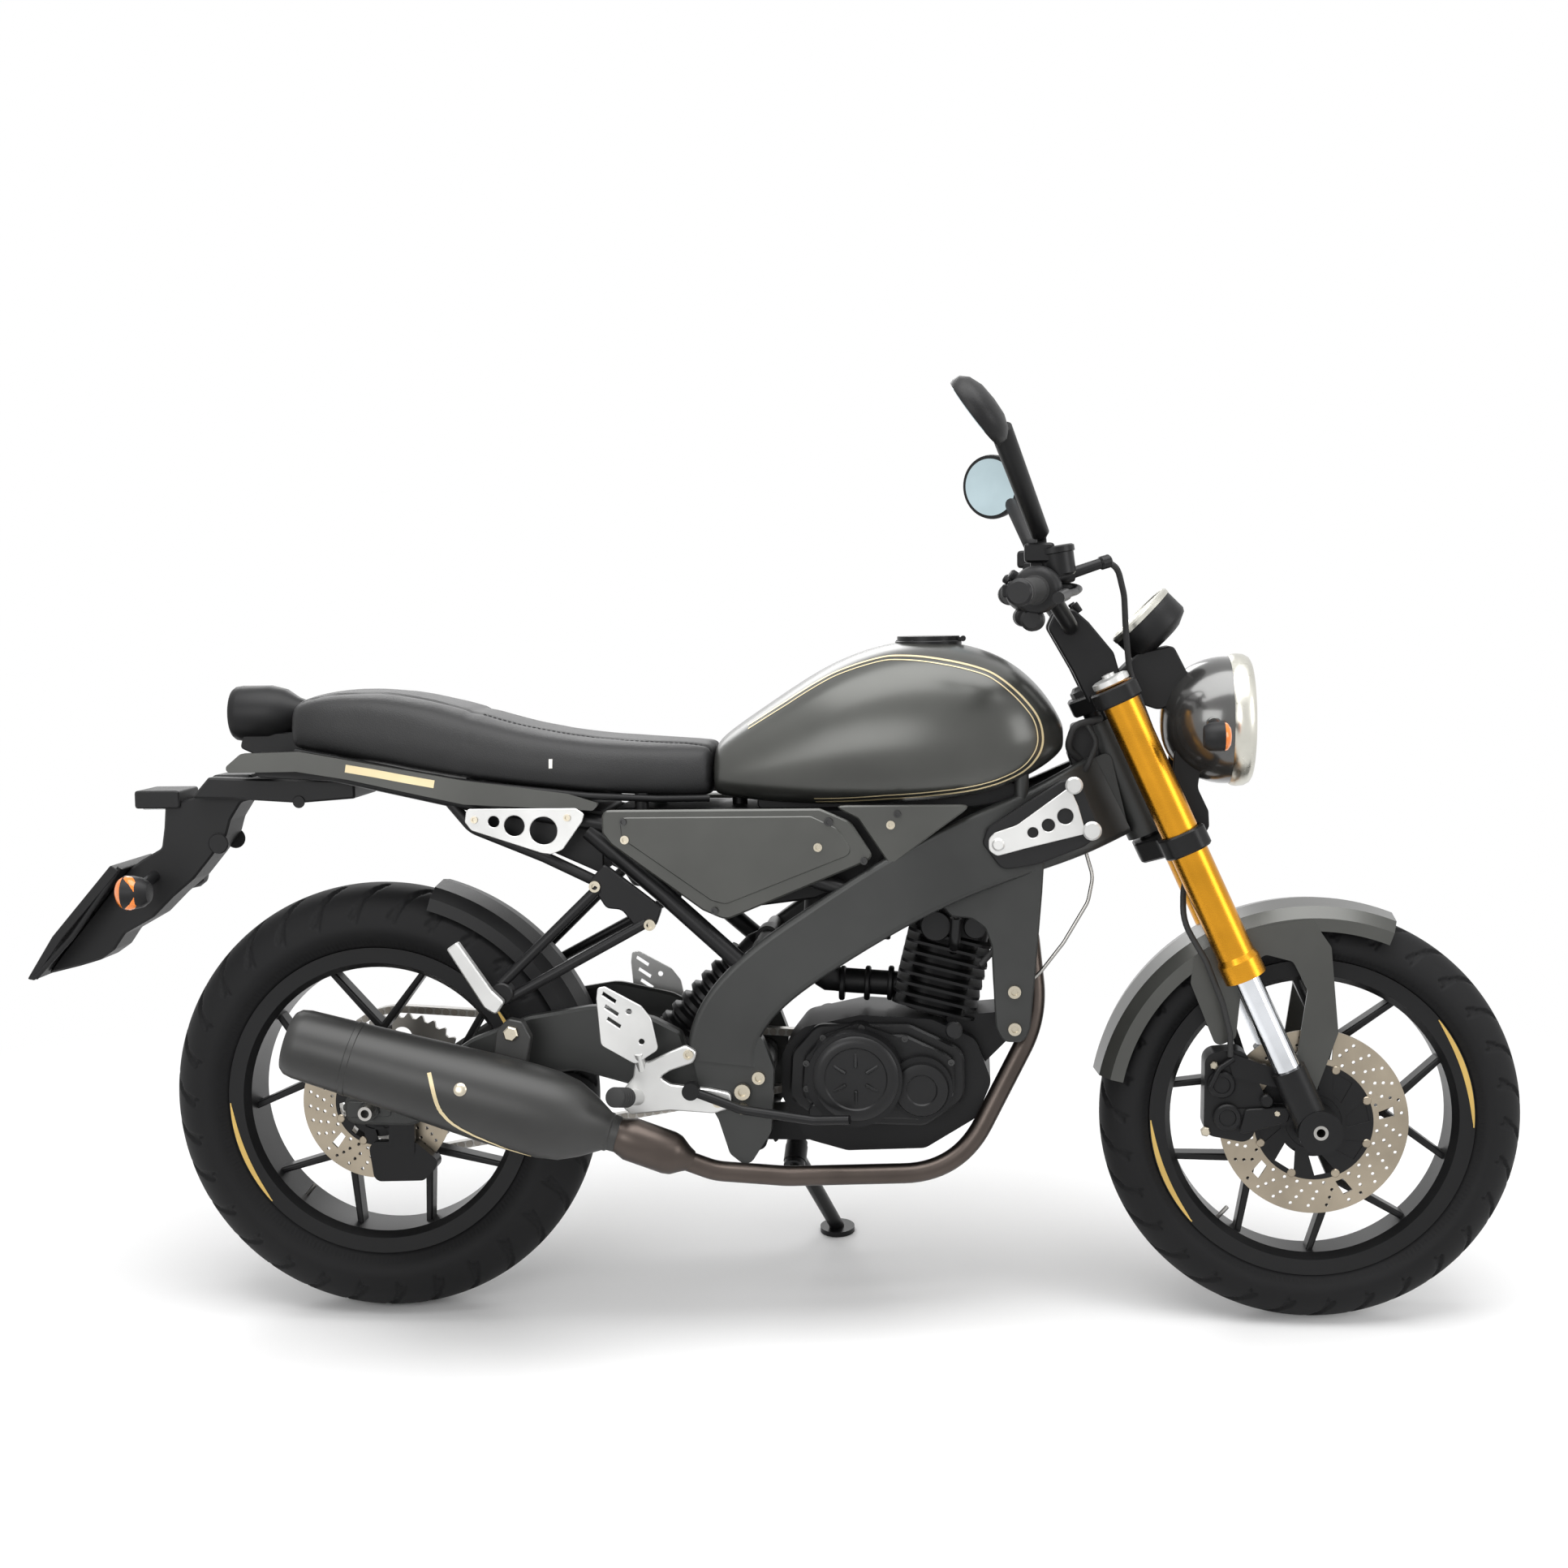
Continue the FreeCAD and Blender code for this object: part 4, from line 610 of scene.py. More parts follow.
def makeMeter():
    way = Vector(meterSizes["facing"]).normalized()
    back = Vector(meterSizes["at"]) - way * meterSizes["depth"]
    drum = Clay("plastic")
    radius = meterSizes["radius"]
    drum.lathe([(0, 24), (1, 30), (9, radius - 3), (14, radius), (46, radius), (50, radius - 2),
                (51, radius - 6), (48, radius - 7), (47, 0)], back, way, 64)
    drum.slab([(1044, 902), (1092, 948), (1140, 958), (1162, 914), (1150, 880), (1120, 868), (1074, 884)],
              -30, 30, [4, 20, 10, 20, 10, 20, 6], 2)
    drum.finish("meterDrum", "steering", "meter")
    lathed("meterTrim", "steering", "brightRim",
           [(44, radius), (44, radius + 1), (50, radius + 1), (52.5, radius - 2), (52.5, radius - 5.5),
            (51, radius - 6)], back, way, 64)
    lathed("meterDial", "steering", "dialFace",
           [(47.2, 0), (47.2, radius - 7.5), (47.8, radius - 7.5), (47.8, 0)], back, way, 64)
    lathed("meterGlass", "steering", "lensGlass",
           [(49.4, 0), (49.2, radius - 6.5), (48.2, radius - 6.5), (48.4, 0)], back, way, 64)


makeMeter()
forkDressSizes = {"carrier": (34, 42), "indicator": (1186, 150, 838), "caps": 674, "hose": 4.2}


def makeForkDress():
    size = forkDressSizes
    carrier = Clay("blackMetal")
    outline = [(1144, 706), (1150, 674), (1172, 676), (1188, 706), (1187, 728), (1172, 760), (1178, 800),
               (1164, 822), (1140, 812), (1138, 780), (1150, 744)]
    carrier.slabs(outline, *size["carrier"], [6, 8, 10, 12, 14, 20, 8, 8, 8, 20, 14], 1)
    for side in (-1, 1):
        carrier.rod((1163, side * 30, 690), (1163, side * 46, 690), 7)
    carrier.finish("lampCarrier", "steering", "lamp_brackets")
    lamps = Clay("plastic")
    lenses = Clay("amber")
    for side in (-1, 1):
        x, y, z = size["indicator"]
        centre = Vector((x, side * y, z))
        lamps.lathe([(-17, 8), (-17, 14), (-10, 19), (2, 20), (10, 20)], centre, (1, 0, 0), 40)
        lamps.rod(centre + Vector((2, -side * 16, 2)), (1188, side * 98.5, 850), 7, 1)
        lenses.lathe([(10, 19.5), (14, 18), (18, 12), (20, 0)], centre, (1, 0, 0), 40)
    lamps.finish("indicatorFront", "steering", "front_indicators")
    lenses.finish("indicatorFrontLens", "steering")
    collars = Clay("silverCast")
    for side in (-1, 1):
        top = onFork(size["caps"], side * legPlane)
        collars.lathe([(0, 24), (2, 26), (9, 26), (11, 22), (12, 14), (12, 9), (16, 9), (17, 0)],
                      top, forkUp, 40)
    collars.finish("forkCaps", "steering")
    hose = Clay("rubber")
    hose.tube([(1040, -176, 1073), (1056, -146, 1064), (1067, -108, 1028), (1071, -80, 980),
               (1077, -60, 926), (1094, -54, 878), (1150, -54, 727), (1170, -58, 676),
               (1150, -64, 626), (1147, -93, 580), (1178, -99, 526), (1200, -98, 468),
               (1211, -94, 424), (1212, -88, 392)], size["hose"], 60, 12, 5)
    hose.finish("brakeHose", "steering")


makeForkDress()

print("inner covers")
innerSizes = {"airbox": 80, "tray": 84, "tankTunnel": 70, "neck": 28, "rails": 8}


def makeInnerCovers():
    size = innerSizes
    box = Clay("plastic")
    box.slab([(352, 694), (352, 742), (740, 738), (772, 712), (704, 636), (640, 612), (560, 602),
              (480, 622), (400, 662)], -size["airbox"], size["airbox"], 16, 3)
    box.tube([(750, 0, 478), (632, 0, 486), (644, 0, 640)], lambda share: 22 if share > 0.3 else 18, 44)
    for x in (745, 712, 676):
        box.rod((x, 0, 478.5), (x - 8, 0, 479), 25, 2)
    box.slab([(160, 722), (160, 740), (343, 740), (343, 648), (262, 684)], -size["tray"], size["tray"], 6, 2)
    box.slab([(560, 738), (560, 764), (900, 776), (930, 770), (930, 750), (860, 738)],
             -size["tankTunnel"], size["tankTunnel"], 8, 2)
    box.slab([(994, 806), (1000, 848), (1030, 856), (1040, 800), (1040, 772), (1006, 772)],
             -size["neck"], size["neck"], 6, 2)
    for side in (-1, 1):
        box.tube([(122, side * 93, 760), (160, side * 100, 717), (262, side * 102, 676),
                  (346, side * 103, 636)], size["rails"], 40)
    box.finish("innerCovers", "chassis")
    wires = Clay("rubber")
    wires.tube([(1010, -30, 800), (992, -44, 818), (1002, -50, 850), (1040, -44, 858)], 5, 20, 10)
    wires.tube([(1004, -34, 770), (1020, -52, 792), (1034, -52, 826), (1020, -46, 850)], 4, 20, 10)
    wires.tube([(935, -92, 690), (926, -98, 620), (905, -94, 560), (870, -86, 520)], 4.5, 40, 10)
    wires.finish("looms", "chassis")
    lead = Clay("steel")
    lead.tube([(1016, -62, 676), (1026, -66, 640), (1019, -68, 605), (985, -70, 548), (953, -76, 508),
               (926, -84, 484)], 2.6, 40, 10)
    lead.finish("clutchLead", "chassis")


makeInnerCovers()

print("swingarm")
armSizes = {"right": 24, "left": 15, "pivot": (540, 352), "tube": 24, "axleHeight": rearAxleHeight}


def makeSwingarm():
    arm = Clay("frameGrey")
    low, high = uprightBox("swingarm")
    outline = [(566, 374), (566, 330), (520, 322), (450, 336), (380, 350), (300, 372), (200, 356),
               (60, 290), (-38, 292), (-38, 336), (40, 344), (150, 416), (232, 448), (328, 464),
               (411, 446), (450, 426), (461, 388), (524, 379)]
    radii = [16, 14, 16, 40, 60, 60, 60, 40, 20, 20, 40, 60, 60, 60, 40, 14, 14, 16]
    right, left = low.y + armSizes["right"], high.y - armSizes["left"]
    arm.slab(outline, low.y, right, radii, 4)
    arm.slab(outline, left, high.y, radii, 4)
    arm.slab([(372, 382), (438, 382), (438, 336), (372, 336)], right - 4, left + 2, 14, 3)
    x, z = armSizes["pivot"]
    arm.rod((x, right - 4, z), (x, left + 2, z), armSizes["tube"])
    axle = armSizes["axleHeight"]
    for side, y in ((-1, low.y), (1, high.y)):
        arm.slab([(-34, 302), (30, 304), (30, 324), (-34, 326)], *sorted((y, y + side * 3)), 6, 1)
        arm.rod((0, y, axle), (0, y + side * 7, axle), 16, 2, 6)
        arm.rod((0, y, axle), (0, y + side * 14, axle), 9, 2)
        arm.rod((-42, y - side * 12, axle), (-28, y - side * 12, axle), 5, 1)
    arm.finish("swingarmDress", "chassis", "swingarm")


makeSwingarm()

print("exhaust")
canSizes = {"front": (366, -174, 300), "back": (-84, -190, 432), "band": 96}


def makeExhaust():
    header = Clay("pipeSteel", 60)
    header.tube([(905, 0, 588), (938, -24, 560), (950, -50, 440), (836, -98, 229), (600, -126, 229),
                 (500, -142, 240), (440, -156, 266)], 14, [0, 40, 170, 130, 150, 90, 0], 28, 14)
    start, front, back = Vector((468, -149, 256)), Vector(canSizes["front"]), Vector(canSizes["back"])
    reach = (front - start).length
    header.lathe([(0, 14), (10, 19), (24, 28), (34, 30), (reach - 22, 30), (reach - 8, 25), (reach, 23),
                  (reach + 6, 23)], start, front - start, 48)
    header.finish("header", "chassis", "exhaust_pipe")
    can = Clay("exhaustGrey")
    reach = (back - front).length
    band = reach - canSizes["band"]
    can.lathe([(-4, 25), (6, 25), (8, 27), (12, 27), (40, 44), (66, 56), (96, 61), (130, 62), (180, 61),
               (250, 57.5), (330, 53.5), (band, 51.6), (band + 1, 52.4), (band + 8, 52.2),
               (band + 9, 51.2), (reach - 18, 48.5), (reach - 6, 46), (reach, 41), (reach + 1, 34),
               (reach - 30, 30), (reach - 30, 0)], front, back - front, 72)
    can.slab([(194, 396), (200, 440), (216, 457), (236, 453), (248, 430), (240, 388)], -160, -140, 8, 1.5)
    canTree = surfaceOf(can.finish("mufflerCan", "chassis", "muffler"))
    mark = Clay("creamPaint", 180)
    mark.trace([(121, -220, 391), (138, -222, 352), (157, -222, 326), (184, -216, 311), (222, -205, 298),
                (262, -195, 291)], 5.5, canTree)
    mark.finish("mufflerMark", "chassis", solid=False)
    studs = Clay("brightBolt")
    studs.rod((221, -158, 437), (221, -168, 437), 11, 2, 6)
    near, facing = canTree.find_nearest(spot(166, -240, 376))[:2]
    studs.lathe([(-2, 9), (1, 9), (2, 8), (3, 5), (3.5, 0)], upright(near), uprightWay(facing), 24)
    studs.finish("mufflerStuds", "chassis")


makeExhaust()

print("footrests")
restSizes = {"inside": 134.6, "plate": 12, "guard": 5}


def makeFootrests():
    bright = Clay("silverCast")
    dark = Clay("blackMetal")
    pads = Clay("rubber")
    low = restSizes["inside"]
    guard = low + restSizes["plate"] + 2
    outline = [(374, 328), (384, 320), (440, 326), (500, 322), (524, 330), (524, 350), (495, 356),
               (440, 362), (424, 372), (440, 382), (472, 393), (478, 408), (462, 417), (440, 408),
               (410, 394), (391, 394), (388, 372), (374, 356)]
    bright.slabs(outline, low, low + restSizes["plate"],
                 [6, 10, 30, 20, 8, 8, 20, 14, 5, 14, 10, 8, 10, 14, 5, 3, 10, 8], 1.6)
    slots = [[(x, z - 5), (x + 2, z), (x + 20, z - 12), (x + 18, z - 17)]
             for x, z in ((348, 494), (351, 476), (354, 459))]
    slots += [circle(385, 466, 4, 14), circle(402, 424, 4, 14)]
    bright.slabs([(342, 499), (352, 501), (402, 474), (416, 456), (425, 413), (393, 392), (345, 419),
                  (340, 484)], guard, guard + restSizes["guard"], [4, 6, 14, 14, 8, 10, 10, 6], 0.8, slots)
    bright.slabs([(135, 556), (150, 566), (197, 498), (214, 482), (202, 464), (186, 474)],
                 154.4, 170, [4, 4, 20, 6, 6, 10], 2)
    for side in (-1, 1):
        bright.rod((400, side * (low + 6), 382), (397, side * (low + 16), 408), 7)
        bright.rod((394, side * (low + 6), 343), (380, side * (low + 60), 356), 11, 2)
        pads.lathe([(0, 12), (1, 14)] + [(4 + index * 4, 14 if index % 2 else 12.6) for index in range(9)]
                   + [(40, 14), (42, 10)], (384, side * (low + 46), 352), (-14, side * 54, 13), 28)
        dark.rod((341, side * 122, 634), (204, side * 142, 502), 7.5)
        dark.rod((408, side * 122, 586), (211, side * 142, 480), 7.5)
        dark.rod((207, side * 130, 490), (207, side * 154, 490), 16, 2)
    dark.slabs([(328, 644), (350, 668), (430, 606), (420, 578), (394, 577), (374, 604), (352, 606)],
               112, 126, [10, 6, 8, 12, 10, 16, 12], 2)
    bright.finish("footrestSet", "chassis", "footrests")
    dark.finish("passengerSet", "chassis", "passenger_hangers")
    pads.finish("footrestRubbers", "chassis")


makeFootrests()

print("covers")
coverSizes = {"low": 124, "high": 136.6, "bracket": 120.7, "hanger": 92}


def makeCovers():
    size = coverSizes
    cover = Clay("bodyGrey")
    main = [(350, 744), (652, 744), (694, 726), (726, 676), (700, 664), (520, 590), (488, 604), (362, 696),
            (350, 712)]
    cover.slabs(main, size["low"], size["high"] - 2, [12, 8, 30, 10, 10, 24, 14, 14, 8], 2.5)
    cover.slabs([(374, 734), (640, 734), (678, 716), (698, 682), (520, 612), (500, 618), (378, 704)],
                size["high"] - 3, size["high"], [10, 10, 26, 12, 22, 14, 12], 1.4)
    cover.slabs([(668, 748), (862, 748), (812, 712), (748, 664), (704, 730)], size["low"],
                size["high"] - 2, [6, 6, 8, 8, 8], 2)
    cover.finish("sideCovers", "chassis", "side_covers")
    bright = Clay("silverCast")
    plane = size["bracket"]
    bright.slabs([(158, 746), (312, 746), (324, 738), (321, 728), (292, 688), (276, 682), (262, 684),
                  (164, 716), (155, 728)], plane, plane + 4, [6, 8, 5, 8, 12, 8, 12, 8, 6], 0.8,
                 [circle(196, 728, 8, 24), circle(225, 722, 14.5, 32), circle(266, 715, 19.5, 36)])
    bright.slabs([(882, 700), (882, 684), (893, 676), (930, 686), (1014, 706), (1003, 745), (992, 770),
                  (920, 718), (890, 708)], plane, plane + 4, [10, 10, 10, 30, 5, 40, 3, 30, 10], 0.8,
                 [circle(942, 708, 7.5, 24), circle(963, 718, 9, 28), circle(986, 730, 11, 32)])
    for side in (-1, 1):
        for x, z, radius in ((998, 772, 12), (1022, 710, 13), (895, 692, 9)):
            bright.rod((x, side * (plane - 1), z), (x, side * (plane + 8), z), radius, 2.5)
    bright.finish("coverBrackets", "chassis", "cover_brackets")
    pad = Clay("plastic")
    pad.slabs([(873, 693), (880, 714), (908, 732), (980, 778), (1004, 782), (1014, 760), (1028, 724),
               (1032, 704), (1012, 688), (950, 664), (900, 656)], 100, plane - 0.3,
              [10, 10, 20, 20, 10, 20, 12, 10, 16, 40, 20], 2)
    for side in (-1, 1):
        for x, z in ((182, 738), (302, 730)):
            pad.rod((x, side * 98, z), (x, side * (plane - 0.3), z), 7)
    pad.finish("bracketPads", "chassis", "bracket_pads")
    hanger = Clay("frameGrey")
    hanger.slabs([(816, 606), (880, 690), (960, 700), (955, 623), (946, 521), (941, 470), (938, 436),
                  (930, 414), (900, 414), (890, 434), (888, 470), (885, 548), (876, 574), (858, 587),
                  (830, 590)], size["hanger"], size["hanger"] + 12,
                 [6, 10, 10, 40, 40, 40, 18, 16, 16, 18, 40, 20, 14, 10, 6], 2)
    hanger.finish("engineHangers", "chassis", "engine_hangers")


makeCovers()
yokeSizes = {"lower": (438, 30), "upper": (660, 24), "leg": 25.4, "stem": 15}


def makeYokes():
    yoke = Clay("blackMetal")
    back = (steerPoint - onFork(540, 0)).dot(forkAhead)
    outline = [(-22, -126), (16, -130), (33, -112), (30, -74), (10, -46), (6, 0), (10, 46), (30, 74),
               (33, 112), (16, 130), (-22, 126), (-34, 104), (-32, 66), (back - 27, 26), (back - 27, -26),
               (-32, -66), (-34, -104)]
    for level, thick in (yokeSizes["lower"], yokeSizes["upper"]):
        made = yoke.slab(outline, level - thick / 2, level + thick / 2, 18, 2.5,
                         [circle(0, side * legPlane, yokeSizes["leg"], 40) for side in (-1, 1)])
        for vert in made:
            vert.co = onFork(vert.co.y, vert.co.z, vert.co.x)
    low, high = (yokeSizes[end][0] for end in ("lower", "upper"))
    yoke.rod(onFork(low + 14, 0, back), onFork(high - 10, 0, back), yokeSizes["stem"])
    yoke.lathe([(0, 20), (8, 20), (10, 17), (14, 13), (15, 0)], onFork(high + 12, 0, back), forkUp, 6)
    yoke.finish("yokeSet", "steering", "yokes")


makeYokes()

print("tank")
tankSizes = {"stripe": 4.2, "stripeThin": 2.2, "stripeGap": 10, "levels": 3,
             "filler": (800, 964), "boltCircle": 43}


def mould(clay, stations, half):  # a ring at each station, from the right half of its outline
    across = [(-y, z) for y, z in half[2:0:-1]] + half + [(-y, z) for y, z in half[-2:2:-1]]
    clay.rings([[Vector((x, y * wide, low + z * (high - low))) for y, z in across]
                for x, wide, low, high in stations])


def makeTank():
    tank = Clay("bodyGrey", 180)
    mould(tank, [
        (497, 70, 764, 818), (503, 88, 757, 834), (548, 104, 751, 864), (600, 118, 747, 898),
        (665, 134, 745, 938), (740, 145, 747, 963), (810, 149, 751, 967), (880, 146, 759, 953),
        (930, 127, 778, 926), (966, 94, 798, 888), (984, 62, 813, 856), (988, 44, 822, 846),
    ], [(0, -0.01), (0.4, -0.01), (0.74, 0), (0.93, 0.1), (1.01, 0.3), (0.98, 0.52), (0.88, 0.74),
        (0.7, 0.9), (0.42, 1.0), (0, 1.03)])
    data = tank.finish("tankShell", "chassis", "tank")
    soften = data.modifiers.new("soften", "SUBSURF")
    soften.levels = soften.render_levels = tankSizes["levels"]
    return data


tank = makeTank()
bpy.context.view_layer.update()


def shownSurface(item):
    whole = bpy.context.evaluated_depsgraph_get()
    return BVHTree.FromObject(item, whole)


tankTree = shownSurface(tank)


def makeTankStripes():
    stripe = Clay("creamPaint", 180)
    line = [(546, 66, 858), (600, 74, 893), (668, 76, 932), (744, 80, 951), (824, 95, 943),
            (887, 97, 926), (926, 101, 894), (952, 96, 860), (957, 100, 822), (933, 106, 792),
            (886, 116, 773), (823, 118, 762), (744, 114, 755), (640, 98, 750)]
    for side in (-1, 1):
        run = [(x, side * y, z) for x, y, z in line]
        stripe.trace(run, tankSizes["stripe"], tankTree)
        stripe.trace(run, tankSizes["stripeThin"], tankTree, side * tankSizes["stripeGap"])
    stripe.finish("tankStripes", "chassis", solid=False)
    neck = Clay("blackMetal")
    middle, level = tankSizes["filler"]
    neck.lathe([(-4, 47), (4, 47), (5, 46), (5, 30)], (middle, 0, level), (0, 0, 1), 64)
    for step in range(6):
        turn = math.tau * step / 6
        x = middle + tankSizes["boltCircle"] * math.cos(turn)
        y = tankSizes["boltCircle"] * math.sin(turn)
        neck.rod((x, y, level + 4), (x, y, level + 6), 3, 0.5, 12)
    neck.finish("fillerRing", "chassis")


makeTankStripes()

print("seat")
seatSizes = {"levels": 3, "channels": (56, -56), "channelDepth": 2.6, "crossSeam": 158, "crossDepth": 3.0,
             "sideDepth": 1.8, "swell": 0.9, "ripple": 0.25, "tag": (277, 814), "stitch": 7}


def makeSeat():
    seat = Clay("seatCover", 180)
    mould(seat, [
        (-108, 70, 836, 888), (-98, 88, 827, 898), (-46, 101, 820, 909), (40, 111, 804, 908),
        (100, 115, 792, 895), (152, 117, 784, 882), (221, 118, 776, 858), (328, 116, 764, 840),
        (422, 103, 758, 834), (488, 90, 756, 831), (498, 80, 760, 826),
    ], [(0, 0), (0.45, 0), (0.9, 0), (0.99, 0.16), (1.02, 0.42), (0.97, 0.7), (0.84, 0.93), (0.45, 1.01),
        (0, 1.03)])
    return seat.finish("seatBench", "chassis", "seat")


seat = makeSeat()


def swellSeat(item):
    soften = item.modifiers.new("soften", "SUBSURF")
    soften.levels = soften.render_levels = seatSizes["levels"]
    bpy.context.view_layer.update()
    whole = bpy.context.evaluated_depsgraph_get()
    data = bpy.data.meshes.new_from_object(item.evaluated_get(whole))
    item.modifiers.clear()
    item.data = data
    shape = bmesh.new()
    shape.from_mesh(data)
    bmesh.ops.recalc_face_normals(shape, faces=shape.faces)
    shape.normal_update()
    for vert in shape.verts:
        at = upright(vert.co)
        if at.z < 800 and abs(at.y) < 60:
            continue
        top = vert.normal.dot(heading(0, 0, 1)) > 0.2
        drift = noise.noise(Vector((at.x / 60, at.y / 45, at.z / 50))) * seatSizes["swell"]
        drift += noise.noise(Vector((at.x / 18, at.y / 16, at.z / 18))) * seatSizes["ripple"]
        seam = 0
        if top:
            for line in seatSizes["channels"]:
                seam -= seatSizes["channelDepth"] * math.exp(-((at.y - line) / 3.4) ** 2)
            seam -= seatSizes["crossDepth"] * math.exp(-((at.x - seatSizes["crossSeam"]) / 4.5) ** 2)
        else:
            seam -= seatSizes["sideDepth"] * math.exp(-((at.x - seatSizes["crossSeam"]) / 4) ** 2)
        vert.co += vert.normal * (drift + seam) / 1000
    shape.to_mesh(data)
    shape.free()
    data.materials.clear()
    data.materials.append(looks["seatCover"].material)
    data.shade_smooth()


swellSeat(seat)
seatTree = surfaceOf(seat)


def makeSeatTrim():
    tag = Clay("whiteCloth")
    x, z = seatSizes["tag"]
    rows = []
    for low in (0, 4.25, 8.5, 12.75):
        hits = [seatTree.ray_cast(spot(x + out, -480, z - low), heading(0, 1, 0)) for out in (-2.5, 0, 2.5)]
        rows.append([upright(hit[0]) + uprightWay(hit[1]) * 0.6 for hit in hits])
    tag.strip(rows)
    tag.finish("seatTag", "chassis", solid=False)
    strip = Clay("creamPaint")
    tail = surfaceOf(nodes["tail_covers"])
    for side in (-1, 1):
        strip.trace([(-14, side * 119, 804), (26, side * 119, 797), (72, side * 119, 788),
                     (116, side * 119, 780)], 11, tail, 0, 0.4)
    strip.finish("tailStrip", "chassis", solid=False)
    thread = Clay("thread")
    for line in reversed(seatSizes["channels"]):
        for x in range(170, 484, seatSizes["stitch"]):
            for near in (-3.2, 3.2):
                hits = [seatTree.ray_cast(spot(x + part, line + near, 1200), heading(0, 0, -1))
                        for part in (0, 4)]
                if all(hit[0] is not None for hit in hits):
                    thread.tube([upright(hits[0][0]), upright(hits[1][0])], 0.7, 1, 6)
    thread.finish("seatThread", "chassis")
    edge = Clay("plastic")
    for side in (-1, 1):
        edge.tube([(-96, side * 84, 826), (-46, side * 96, 818), (40, side * 106, 802),
                   (152, side * 112, 782), (221, side * 113, 774), (328, side * 111, 762),
                   (422, side * 98, 756), (494, side * 82, 755)], 5, 60, 10)
    edge.finish("seatEdge", "chassis")


makeSeatTrim()

print("wheels")
wheelSizes = {
    "front": {"radius": 293, "crown": 53, "rim": 76, "disc": 130, "plane": 52},
    "rear": {"radius": 314, "crown": 70, "rim": 100, "disc": 110, "plane": 57},
}
rimLip = 226
treadSizes = {"blocks": 30, "long": 3.4, "short": 2.4, "wallRib": 0.5, "around": 900}


def makeTyre(end, centre):
    size = wheelSizes[end]
    crown, middle = size["crown"], size["radius"] - size["crown"]
    outer = []
    for step in range(-26, 27):
        angle = math.radians(78) * step / 26
        outer.append((crown * math.sin(angle), middle + crown * math.cos(angle)))
    low = outer[-1]
    wall = []
    for step in range(1, 11):
        share = step / 10
        bulge = math.sin(share * math.pi) * 2.6
        wall.append((low[0] + (size["rim"] / 2 - low[0]) * share ** 1.6 + bulge,
                     low[1] + (rimLip - low[1]) * share))
    inside = [(size["rim"] / 2 - 7, rimLip), (size["rim"] / 2 - 18, rimLip - 8)]
    right = wall + inside
    profile = [(-y, r) for y, r in reversed(right)] + outer + right
    tyre = Clay("tyreRubber", 60)
    around = treadSizes["around"]
    rings = []
    for step in range(around):
        turn = math.tau * step / around
        ring = []
        for index, (y, radius) in enumerate(profile):
            tread = index - len(right)
            cut = 0
            if 0 <= tread < len(outer):
                share = (tread - 26) / 26
                side = 1 if share > 0 else -1
                across = abs(share)
                phase = step / around * treadSizes["blocks"] + (0.5 if side > 0 else 0)
                sweep = (phase - 1.1 * across ** 0.8) % 1
                if 0.12 < across < 0.86 and sweep < 0.15:
                    cut = treadSizes["long"]
                short = (phase + 0.5 - 0.4 * across) % 1
                if 0.5 < across < 0.93 and short < 0.09:
                    cut = treadSizes["short"]
            if abs(tread - 26) in (33, 34) and (step // 2) % 2 == 0:
                cut = treadSizes["wallRib"]
            away = Vector((0, y, radius - middle)).normalized()
            y2, r2 = y - away.y * cut, radius - away.z * cut
            ring.append(centre + polar(r2, turn, y2))
        rings.append(ring)
    tyre.rings(rings, loop=True)
    tyre.finish("tyre" + end.title(), end + "_wheel", end + "_tyre")


discSizes = {"sectors": 30, "band": 52, "hole": 2.5}


def drillSector(disc, centre, outer, sector, low, high):
    wide = math.tau / discSizes["sectors"]
    start = sector * wide
    inner = outer - discSizes["band"]

    def at(share, reach):
        turn = start + wide * share
        return centre.x + reach * math.cos(turn), centre.z + reach * math.sin(turn)

    outside = [at(step / 4, outer) for step in range(5)]
    inside = [at(1 - step / 4, inner) for step in range(5)]
    holes = []
    rows = ((10, 0.25), (20, 0.5), (30, 0.75)) if sector % 6 else ((9, 0.5),)
    for depth, share in rows:
        holes.append(circle(*at(share, outer - depth), discSizes["hole"], 10))
    if sector % 6 == 0:
        holes.append([at(0.15, outer - 40), at(0.35, outer - 19), at(0.95, outer - 19), at(0.75, outer - 40)])
    else:
        holes.append(circle(*at(0.3, outer - 42), discSizes["hole"], 10))
    faces = []
    for y in (low, high):
        border = [disc.mesh.verts.new((x, y, z)) for x, z in outside + inside]
        edges = [disc.mesh.edges.new((border[index - 1], border[index])) for index in range(len(border))]
        loops = [border[:5], border[5:]]
        for hole in holes:
            loop = [disc.mesh.verts.new((x, y, z)) for x, z in hole]
            edges += [disc.mesh.edges.new((loop[index - 1], loop[index])) for index in range(len(loop))]
            loops.append(loop + loop[:1])
        bmesh.ops.triangle_fill(disc.mesh, use_beauty=True, edges=edges)
        faces.append(loops)
    for first, second in zip(*faces):
        for index in range(len(first) - 1):
            disc.mesh.faces.new((first[index], first[index + 1], second[index + 1], second[index]))


